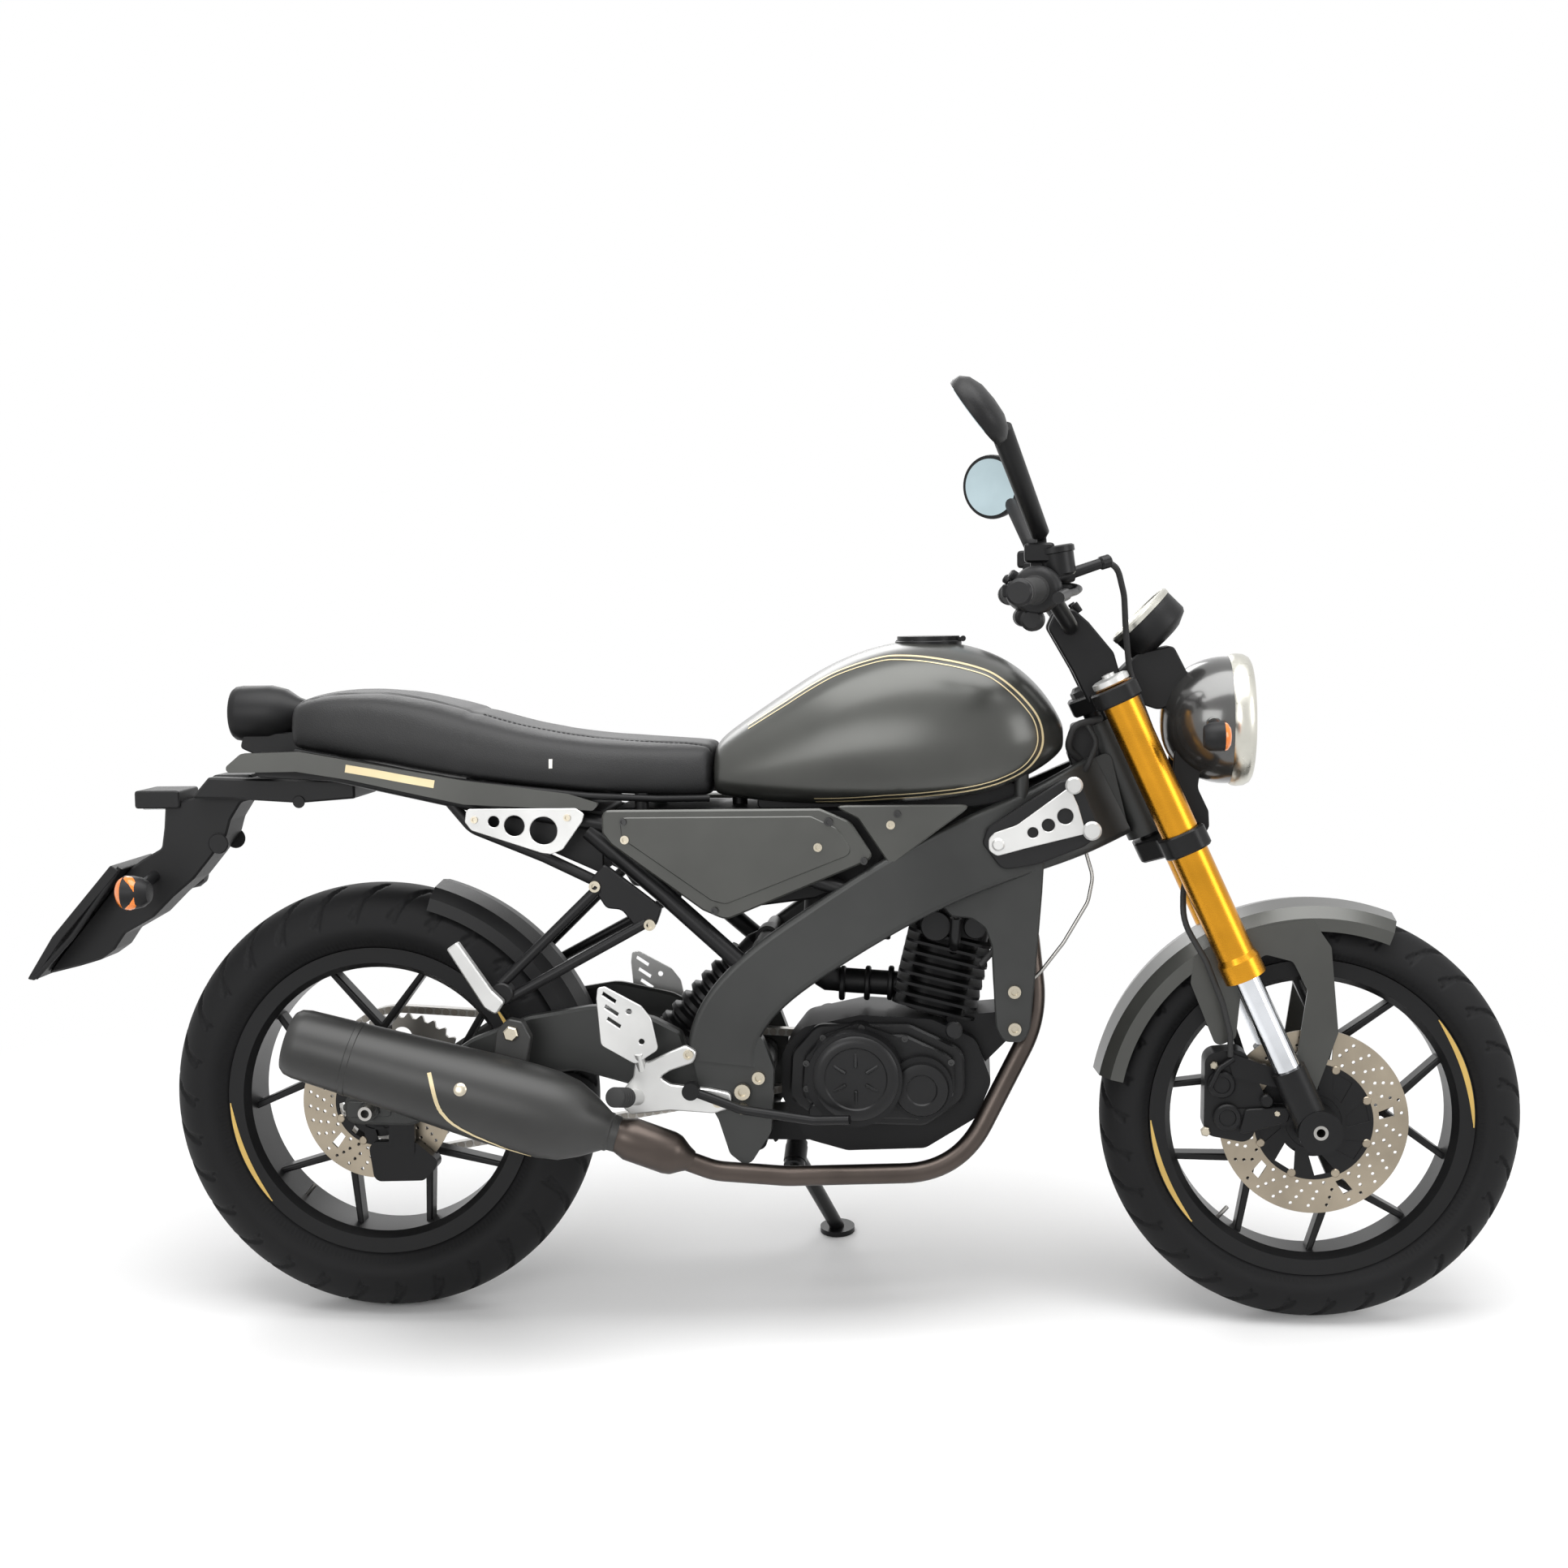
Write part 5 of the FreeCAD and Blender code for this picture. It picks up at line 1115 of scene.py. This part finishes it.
def makeDisc(end, centre):
    size = wheelSizes[end]
    body = end + "_wheel"
    outer = size["disc"]
    disc = Clay("discSteel", 30)
    for sector in range(discSizes["sectors"]):
        drillSector(disc, centre, outer, sector, centre.y - size["plane"] - 4, centre.y - size["plane"])
    disc.finish("disc" + end.title(), body, end + "_disc")
    carrier = Clay("blackMetal", 30)
    inner = outer - discSizes["band"] + 4
    windows = []
    for index in range(8):
        turn = math.tau * index / 8
        window = [centre + polar(inner * reach, turn + angle)
                  for angle, reach in ((-0.16, 0.56), (0.2, 0.56), (0.42, 0.93), (0.02, 0.93))]
        windows.append([(point.x, point.z) for point in window])
    windows.append(circle(centre.x, centre.z, 38.5, 40))
    carrier.slab(circle(centre.x, centre.z, inner, 96), centre.y - size["plane"] - 5.2,
                 centre.y - size["plane"] - 4.2, 0.1, 0.3, windows)
    carrier.finish("carrier" + end.title(), body)
    pins = Clay("discSteel")
    for index in range(8):
        at = centre + polar(inner * 0.96, math.tau * (index + 0.5) / 8)
        pins.rod(at - Vector((0, size["plane"] + 4, 0)), at - Vector((0, size["plane"] + 6.5, 0)), 6, 1, 16)
    pins.finish("discPins" + end.title(), body)


# Painted highlight: gold crescents on each rim's edge, two arcs a side, tapered at both ends like the light
# caught on the rim
rimHighlightSizes = {"outside": 223.5, "width": 7.5, "arcs": ((181, 222), (-3, 39))}


def makeWheelDress(end, centre):
    body = end + "_wheel"
    arcs = Clay("goldTape", 60)
    half = wheelSizes[end]["rim"] / 2
    outside = rimHighlightSizes["outside"]
    for side in (-1, 1):
        for first, last in rimHighlightSizes["arcs"]:
            rings = []
            for step in range(41):
                turn = math.radians(first + (last - first) * step / 40)
                inside = outside - rimHighlightSizes["width"] * max(0.06, math.sin(math.pi * step / 40)) ** 0.55
                rings.append([centre + polar(reach, turn, side * (half + out)) for reach, out in (
                    (inside, 0.25), (inside, 0.7), (outside, 0.7), (outside, 0.25))])
            arcs.rings(rings)
    arcs.finish("paintedRimHighlight" + end.title(), body)
    valve = Clay("steel")
    turn = math.radians(230)
    valve.tube([centre + polar(200, turn, -8), centre + polar(176, turn, -12)], 3.2, 5, 10)
    valve.finish("valve" + end.title(), body)


for end in wheelSizes:
    centre = upright(jointAt[end + "_spin"])
    centre.y = 0
    makeTyre(end, centre)
    makeDisc(end, centre)
    makeWheelDress(end, centre)


caliperSizes = {"face": -85, "bores": ((1200, 352), (1208, 306)),
                "nuts": ((1178, 286, 7), (1190, 379, 6), (1276, 312, 5))}


def makeCaliperCaps():
    caps = Clay("blackMetal")
    for x, z in caliperSizes["bores"]:
        caps.lathe([(0, 19), (5, 19), (7, 17), (7, 12), (5, 11), (5, 0)], (x, caliperSizes["face"], z),
                   (0, -1, 0), 40)
    caps.rod((1262, -80, 330), (1262, -92, 330), 9, 2)
    caps.slab([(1222, 280), (1290, 300), (1296, 322), (1232, 318)], -90, -84, 8, 1.5)
    caps.tube([(1216, -88, 388), (1196, -94, 376), (1184, -92, 350)], 4, 12, 12)
    caps.finish("caliperCaps", "steering")
    nuts = Clay("brightBolt")
    for x, z, radius in caliperSizes["nuts"]:
        nuts.rod((x, -82, z), (x, -91, z), radius, 1.5, 6)
    nuts.finish("caliperNuts", "steering")


makeCaliperCaps()

print("engine")
headSizes = {"foot": (800, 0, 441), "lean": 14}
clutchSizes = {"hub": (697, 0, 370), "ribs": 6, "face": -130}


def makeEngineDress():
    covers = Clay("engineCover")
    hub = Vector(clutchSizes["hub"])
    covers.lathe([(0, 57), (4, 60), (9, 59), (12, 55), (13, 50), (13, 44), (11, 42), (11, 0)],
                 hub + Vector((0, clutchSizes["face"], 0)), (0, -1, 0), 72)
    for index in range(clutchSizes["ribs"]):
        turn = math.tau * (index + 0.5) / clutchSizes["ribs"]
        covers.rod(hub + polar(36, turn, -139), hub + polar(16, turn, -143), 2.6, 0.8, 10)
    covers.lathe([(0, 36), (5, 38), (9, 36), (10, 30), (10, 22), (8, 20), (8, 0)], (787, -112, 350),
                 (0, -1, 0), 56)
    covers.slab([(600, 330), (650, 296), (790, 292), (846, 330), (846, 400), (770, 436), (640, 436),
                 (604, 396)], -90, -74, 26, 3)
    covers.slab([(618, 336), (660, 306), (785, 304), (832, 336), (832, 392), (765, 424), (650, 424),
                 (622, 392)], -104, -90, 24, 3)
    covers.rod((832, -92, 430), (832, -112, 432), 12, 2)
    covers.rod((640, -96, 318), (640, -118, 318), 11, 2)
    covers.finish("rightCovers", "chassis")
    head = Clay("engineCover")
    lean = math.radians(headSizes["lean"])
    way = Vector((math.sin(lean), 0, math.cos(lean)))
    across = Vector((way.z, 0, -way.x))

    def onHead(level, y, ahead=0):
        return Vector(headSizes["foot"]) + way * level + across * ahead + Vector((0, y, 0))

    for y in (-38, 38):
        head.rod(onHead(150, y), onHead(176, y), 15, 3)
    head.rod(onHead(140, -50, 30), onHead(140, -72, 30), 17, 2)
    head.rod(onHead(128, -50, -24), onHead(128, -68, -24), 22, 2)
    head.tube([onHead(100, -52, 8), onHead(118, -84, 6), onHead(150, -92)], 8, 16, 14)
    head.rod((901, 0, 588), (918, -4, 580), 25, 2)
    for y in (-20, 20):
        head.rod((905, y, 590), (922, y - 3, 582), 6, 1)
    head.rod((744, -14, 560), (700, -14, 566), 17, 2)
    head.finish("headDress", "chassis")
    lead = Clay("rubber")
    lead.tube([onHead(150, -92), (842, -98, 630), (800, -92, 660), (752, -84, 668)], 4, 30)
    lead.finish("sparkLead", "chassis")


makeEngineDress()

print("screws")
screwSizes = {"headHeight": 0.9, "socketShare": 0.55, "socketDepth": 0.45}


# Instances of one shape on points; an attribute named way turns each of them
class Grower(Graph):
    def __init__(self, name, *values):
        super().__init__(bpy.data.node_groups.new(name, "GeometryNodeTree"))
        sockets = [("Geometry", "Geometry")] + [(value, "Float") for value in values]
        for label, kind in sockets + [("Material", "Material")]:
            self.tree.interface.new_socket(label, in_out="INPUT", socket_type="NodeSocket" + kind)
        self.tree.interface.new_socket("Geometry", in_out="OUTPUT", socket_type="NodeSocketGeometry")
        self.given = self.node("NodeGroupInput")

    def spread(self, points, shape, **scale):
        way = self.node("GeometryNodeInputNamedAttribute", {"data_type": "FLOAT_VECTOR"}, {"Name": "way"})
        turn = self.node("FunctionNodeAlignRotationToVector", {"axis": "Z"}, {"Vector": way})
        placed = self.node("GeometryNodeInstanceOnPoints", None,
                           {"Points": points, "Instance": shape, "Rotation": turn, **scale})
        real = self.node("GeometryNodeRealizeInstances", None, {0: placed})
        paint = self.node("GeometryNodeSetMaterial", None,
                          {"Geometry": real, "Material": self.given.also("Material")})
        self.feed(self.tree.nodes.new("NodeGroupOutput").inputs[0], paint)
        return self.tree


def screwTree():
    grower = Grower("screwHeads", "Head Height", "Socket Share", "Socket Depth")
    given = grower.given
    head = grower.node("GeometryNodeMeshCylinder", None,
                       {"Vertices": 16, "Radius": 1.0, "Depth": given.also("Head Height")})
    rim = grower.node("GeometryNodeExtrudeMesh", {"mode": "FACES"},
                      {"Mesh": head, "Selection": head.also("Top"), "Offset Scale": 0.0})
    pinch = grower.node("GeometryNodeScaleElements", {"domain": "FACE"},
                        {"Geometry": rim, "Selection": rim.also("Top"), "Scale": given.also("Socket Share")})
    well = grower.node("GeometryNodeExtrudeMesh", {"mode": "FACES"},
                       {"Mesh": pinch, "Selection": rim.also("Top"),
                        "Offset Scale": given.also("Socket Depth") * -1.0})
    points = grower.node("GeometryNodeMeshToPoints", None, {"Mesh": given})
    size = grower.node("GeometryNodeInputNamedAttribute", {"data_type": "FLOAT"}, {"Name": "size"})
    return grower.spread(points, well, Scale=size)


def growOn(tree, name, base, values, look, body, sharp=30):
    grower = linked(name, base)
    step = grower.modifiers.new("grow", "NODES")
    step.node_group = tree
    for item in tree.interface.items_tree:
        if item.in_out == "INPUT" and item.name in values:
            step[item.identifier] = values[item.name]
    bpy.context.view_layer.update()
    whole = bpy.context.evaluated_depsgraph_get()
    data = bpy.data.meshes.new_from_object(grower.evaluated_get(whole))
    bpy.data.objects.remove(grower)
    return handed(name, data, look, body, (), sharp)


screws = screwTree()


def makeScrews(name, body, look, places):
    base = bpy.data.meshes.new(name + "Places")
    base.from_pydata([spot(*at) for at, way, size in places], [], [])
    base.attributes.new("way", "FLOAT_VECTOR", "POINT")
    base.attributes.new("size", "FLOAT", "POINT")
    for index, (at, way, size) in enumerate(places):
        base.attributes["way"].data[index].vector = heading(*way)
        base.attributes["size"].data[index].value = size / 1000
    growOn(screws, name, base, {
        "Head Height": screwSizes["headHeight"], "Socket Share": screwSizes["socketShare"],
        "Socket Depth": screwSizes["socketDepth"], "Material": looks[look].material,
    }, look, body)


right = (0, -1, 0)
left = (0, 1, 0)
makeScrews("engineScrews", "chassis", "darkBolt", [
    ((x, -105, z), right, 4.6) for x, z in ((626, 348), (668, 312), (726, 308), (780, 310), (826, 342),
                                            (828, 386), (764, 419), (704, 434), (650, 420), (626, 384))
] + [((760 + 52 * math.cos(turn), 125, 352 + 52 * math.sin(turn)), left, 4.4)
     for turn in (0.3, 1.4, 2.5, 3.5, 4.6, 5.6)])
makeScrews("plateBolts", "chassis", "brightBolt", [
    ((x, side * y, z), (0, side, 0), size) for side in (-1, 1) for x, z, y, size in (
        (562, 370, 136, 9), (539, 327, 136, 8), (540, 352, 143, 11), (916, 485, 105.5, 9),
        (916, 433, 105.5, 9), (337, 637, 127, 8), (413, 583, 127, 8), (466, 405, 148, 7),
        (506, 338, 148, 7), (169, 731, 125.6, 5), (300, 733, 125.6, 5), (649, 691, 137, 6),
        (382, 703, 137, 6), (749, 721, 135, 6))
])
makeScrews("coverBolts", "chassis", "darkBolt", [
    ((x, side * 138, z), (0, side, 0), size) for side in (-1, 1) for x, z, size in (
        (664, 726, 6), (712, 672, 5), (758, 736, 5), (380, 728, 5), (505, 604, 5))
])


def forkPlaces():
    places = []
    for side in (-1, 1):
        for level, ahead in ((431, -30), (445, -30), (653, -30), (667, -30), (-12, -25), (14, -25)):
            places.append((onFork(level, side * legPlane, ahead), -forkAhead, 5))
    return places


makeScrews("forkScrews", "steering", "darkBolt", forkPlaces())

print("chain")
chainSizes = {"pitch": 12.7, "plate": 5.4, "thick": 1.4, "rear": 111, "front": 35.8, "outs": (92.6, 75.4)}


def chainTree():
    grower = Grower("chainLinks", "Pitch", "Plate Radius", "Plate Thickness")
    given = grower.given
    curve = grower.node("GeometryNodeMeshToCurve", None, {"Mesh": given})
    rows = grower.node("GeometryNodeResampleCurve", {"mode": "LENGTH"},
                       {"Curve": curve, "Length": given.also("Pitch")})
    plate = grower.node("GeometryNodeMeshCylinder", None,
                        {"Vertices": 14, "Radius": given.also("Plate Radius"),
                         "Depth": given.also("Plate Thickness")})
    pin = grower.node("GeometryNodeMeshCylinder", None, {"Vertices": 10, "Radius": 0.0022, "Depth": 0.0026})
    both = grower.node("GeometryNodeJoinGeometry", None, {0: plate})
    grower.feed(both.socket.node.inputs[0], pin)
    return grower.spread(rows, both)


def makeChain():
    tree = chainTree()
    rear, drive = Vector((0, 0, rearAxleHeight)), Vector((632, 0, 352))
    along = (drive - rear).normalized()
    first, last = chainSizes["rear"], chainSizes["front"]
    start = math.atan2(along.z, along.x) + math.pi / 2
    lean = math.asin((first - last) / (drive - rear).length)
    loop = [rear + polar(first, start - lean + (math.pi + 2 * lean) * step / 40) for step in range(41)]
    loop += [drive + polar(last, start - math.pi + lean + (math.pi - 2 * lean) * step / 20)
             for step in range(21)]
    for side, out in zip(("Outer", "Inner"), chainSizes["outs"]):
        base = bpy.data.meshes.new("chain%sPath" % side)
        base.from_pydata([spot(point.x, out, point.z) for point in loop],
                         [(index, (index + 1) % len(loop)) for index in range(len(loop))], [])
        ways = base.attributes.new("way", "FLOAT_VECTOR", "POINT")
        for item in ways.data:
            item.vector = heading(0, 1, 0)
        growOn(tree, "chain%sLinks" % side, base, {
            "Pitch": chainSizes["pitch"] / 1000, "Plate Radius": chainSizes["plate"] / 1000,
            "Plate Thickness": chainSizes["thick"] / 1000, "Material": looks["chainSteel"].material,
        }, "chainSteel", "chassis")


makeChain()

print("tail")
tailSizes = {"lamp": (-211, 0, 877), "indicator": (-332, 112, 629), "plate": 76, "holder": 34}


def makeTail():
    lamp = Clay("plastic")
    at = Vector(tailSizes["lamp"])
    lamp.lathe([(3, 33), (0, 36), (4, 39), (13, 40.5), (56, 40.5), (78, 35), (96, 23), (106, 19),
                (116, 19)], at, (1, 0, 0), 64)
    lamp.slab([(-192, 850), (-198, 828), (-176, 818), (-104, 818), (-104, 850)], -24, 24, [4, 6, 4, 4, 4], 2)
    lamp.finish("tailLampShell", "chassis", "tail_lamp")
    lathed("tailLampLens", "chassis", "redLens", [(6, 34), (2, 32.5), (0, 24), (-1, 0)], at, (1, 0, 0), 56)
    hanger = Clay("plastic")
    hanger.slab([(-182, 790), (-235, 790), (-267, 757), (-310, 746), (-313, 713), (-318, 683),
                 (-349, 666), (-374, 648), (-480, 522), (-498, 498), (-448, 510), (-417, 519),
                 (-395, 534), (-378, 558), (-334, 582), (-303, 612), (-271, 638), (-243, 671),
                 (-220, 701), (-213, 724), (-196, 750), (-150, 760)],
                -tailSizes["holder"], tailSizes["holder"],
                [4, 10, 10, 8, 20, 10, 10, 14, 10, 3, 20, 14, 14, 14, 20, 20, 20, 20, 20, 16, 12, 6], 3)
    hanger.slab([(-182, 786), (-20, 782), (-20, 756), (-102, 750), (-207, 757), (-262, 758), (-235, 788)],
                -58, 58, 4, 3)
    hanger.slab([(-353, 768), (-286, 768), (-286, 742), (-353, 742)], -40, 40, 5, 2)
    hanger.slab([(-378, 664), (-470, 560), (-510, 498), (-500, 496), (-456, 556), (-366, 656)],
                -tailSizes["plate"], tailSizes["plate"], [3, 10, 2, 2, 10, 3], 1)
    for side in (-1, 1):
        hanger.tube([(-366, side * 70, 660), (-440, side * 74, 560), (-498, side * 74, 500)], 4, 60, 10)
        hanger.rod((-231, side * 34, 690), (-231, side * 38, 690), 15, 2)
        hanger.rod((-102, side * 58, 752), (-102, side * 60, 752), 9, 1)
    hanger.finish("plateHolder", "chassis", "plate_hanger")
    light = Clay("whiteLens")
    light.slab([(-345, 741.6), (-294, 741.6), (-294, 739.6), (-345, 739.6)], -28, 28, 0.6, 0.4)
    light.finish("plateLight", "chassis")
    lamps = Clay("plastic")
    lenses = Clay("amber")
    for side in (-1, 1):
        x, y, z = tailSizes["indicator"]
        centre = Vector((x, side * y, z))
        lamps.lathe([(26, 8), (25, 14), (16, 21), (2, 24), (-10, 24.5)], centre, (1, 0, 0), 40)
        lamps.rod(centre + Vector((2, -side * 18, 3)), (-330, side * 33, 642), 8, 1)
        lenses.lathe([(-2, 24), (2, 24.5), (8, 22), (13, 15), (15, 0)], centre + Vector((-4, side * 4, 0)),
                     (-0.5, side * 0.86, 0), 40)
    lamps.finish("indicatorRear", "chassis", "rear_indicators")
    lenses.finish("indicatorRearLens", "chassis")


makeTail()

print("studio")
studio = {
    "cameraAt": (861.5, -3021.8, 1023.8), "yaw": 5.102, "pitch": 4.841, "roll": -0.918,
    "lens": 36 * 2619.55 / 1932, "floorSize": 60, "floorShade": 0.9, "ambient": 0.42,
    "shadowNear": 0.35, "shadowFar": 1.3,
}


def makeCamera():
    yaw, pitch, roll = (math.radians(studio[key]) for key in ("yaw", "pitch", "roll"))
    ahead = Vector((-math.sin(yaw) * math.cos(pitch), math.cos(yaw) * math.cos(pitch),
                    -math.sin(pitch)))
    right = Vector((math.cos(yaw), math.sin(yaw), 0))
    up = right.cross(ahead)
    right, up = (right * math.cos(roll) + up * math.sin(roll),
                 up * math.cos(roll) - right * math.sin(roll))
    turn = leanTurn @ Matrix((right, up, -ahead)).transposed()
    data = bpy.data.cameras.new("camera")
    data.lens = studio["lens"]
    data.sensor_width = 36
    data.clip_end = 200
    camera = linked("camera", data)
    camera.matrix_world = Matrix.Translation(spot(*studio["cameraAt"])) @ turn.to_4x4()
    bpy.context.scene.camera = camera


def makeLamp(name, at, aim, size, power):
    data = bpy.data.lights.new(name, "AREA")
    data.shape = "RECTANGLE"
    data.size, data.size_y = size
    data.energy = power
    lamp = linked(name, data)
    lamp.location = at
    lamp.rotation_euler = (Vector(aim) - Vector(at)).to_track_quat("-Z", "Y").to_euler()


makeCamera()
makeLamp("overheadLamp", (0.1, -0.5, 3.6), (0, 0, 0.4), (4.2, 2.6), 150)
makeLamp("sideLamp", (-1.5, -4.2, 2.3), (0, 0, 0.5), (2.6, 1.8), 60)
makeLamp("frontLamp", (3.8, -1.6, 1.9), (0.4, 0, 0.6), (1.6, 1.8), 35)
makeLamp("backLamp", (-1.2, 3.6, 2.4), (0, 0, 0.6), (3.0, 1.4), 50)


def makeFloor():
    size = studio["floorSize"] / 2
    mesh = bpy.data.meshes.new("floor")
    mesh.from_pydata([(-size, -size, 0), (size, -size, 0), (size, size, 0), (-size, size, 0)], [],
                     [(0, 1, 2, 3)])
    floor = linked("floor", mesh)
    look = Look("floor", (studio["floorShade"],) * 3, 0.9)
    around = look.node("ShaderNodeVectorMath", {"operation": "MULTIPLY"},
                       {0: look.place(), 1: (0.55, 1, 0)})
    away = look.node("ShaderNodeVectorMath", {"operation": "LENGTH"}, {0: around}, 1)
    scale = 0.4  # brings the distances under 1, where a ramp ends
    far = look.ramp(away * scale, (studio["shadowNear"] * scale, 0), (studio["shadowFar"] * scale, 1))
    white = look.node("ShaderNodeEmission", None, {"Color": (1, 1, 1, 1), "Strength": 1.0})
    both = look.node("ShaderNodeMixShader", None,
                     {0: far * look.seen(), 1: Term(look, look.shader.outputs[0]), 2: white})
    look.feed(look.tree.nodes["Material Output"].inputs["Surface"], both)
    mesh.materials.append(look.material)


def makeWorld():
    world = bpy.data.worlds.new("studioWorld")
    bpy.context.scene.world = world
    world.use_nodes = True
    graph = Graph(world.node_tree)
    strength = graph.node("ShaderNodeMix", {"data_type": "FLOAT"},
                          {0: graph.seen(), 2: studio["ambient"], 3: 1.0})
    back = world.node_tree.nodes["Background"]
    graph.feed(back.inputs["Strength"], strength)
    graph.feed(back.inputs["Color"], (1, 1, 1, 1))


makeFloor()
makeWorld()
bpy.context.scene.view_settings.view_transform = "Standard"
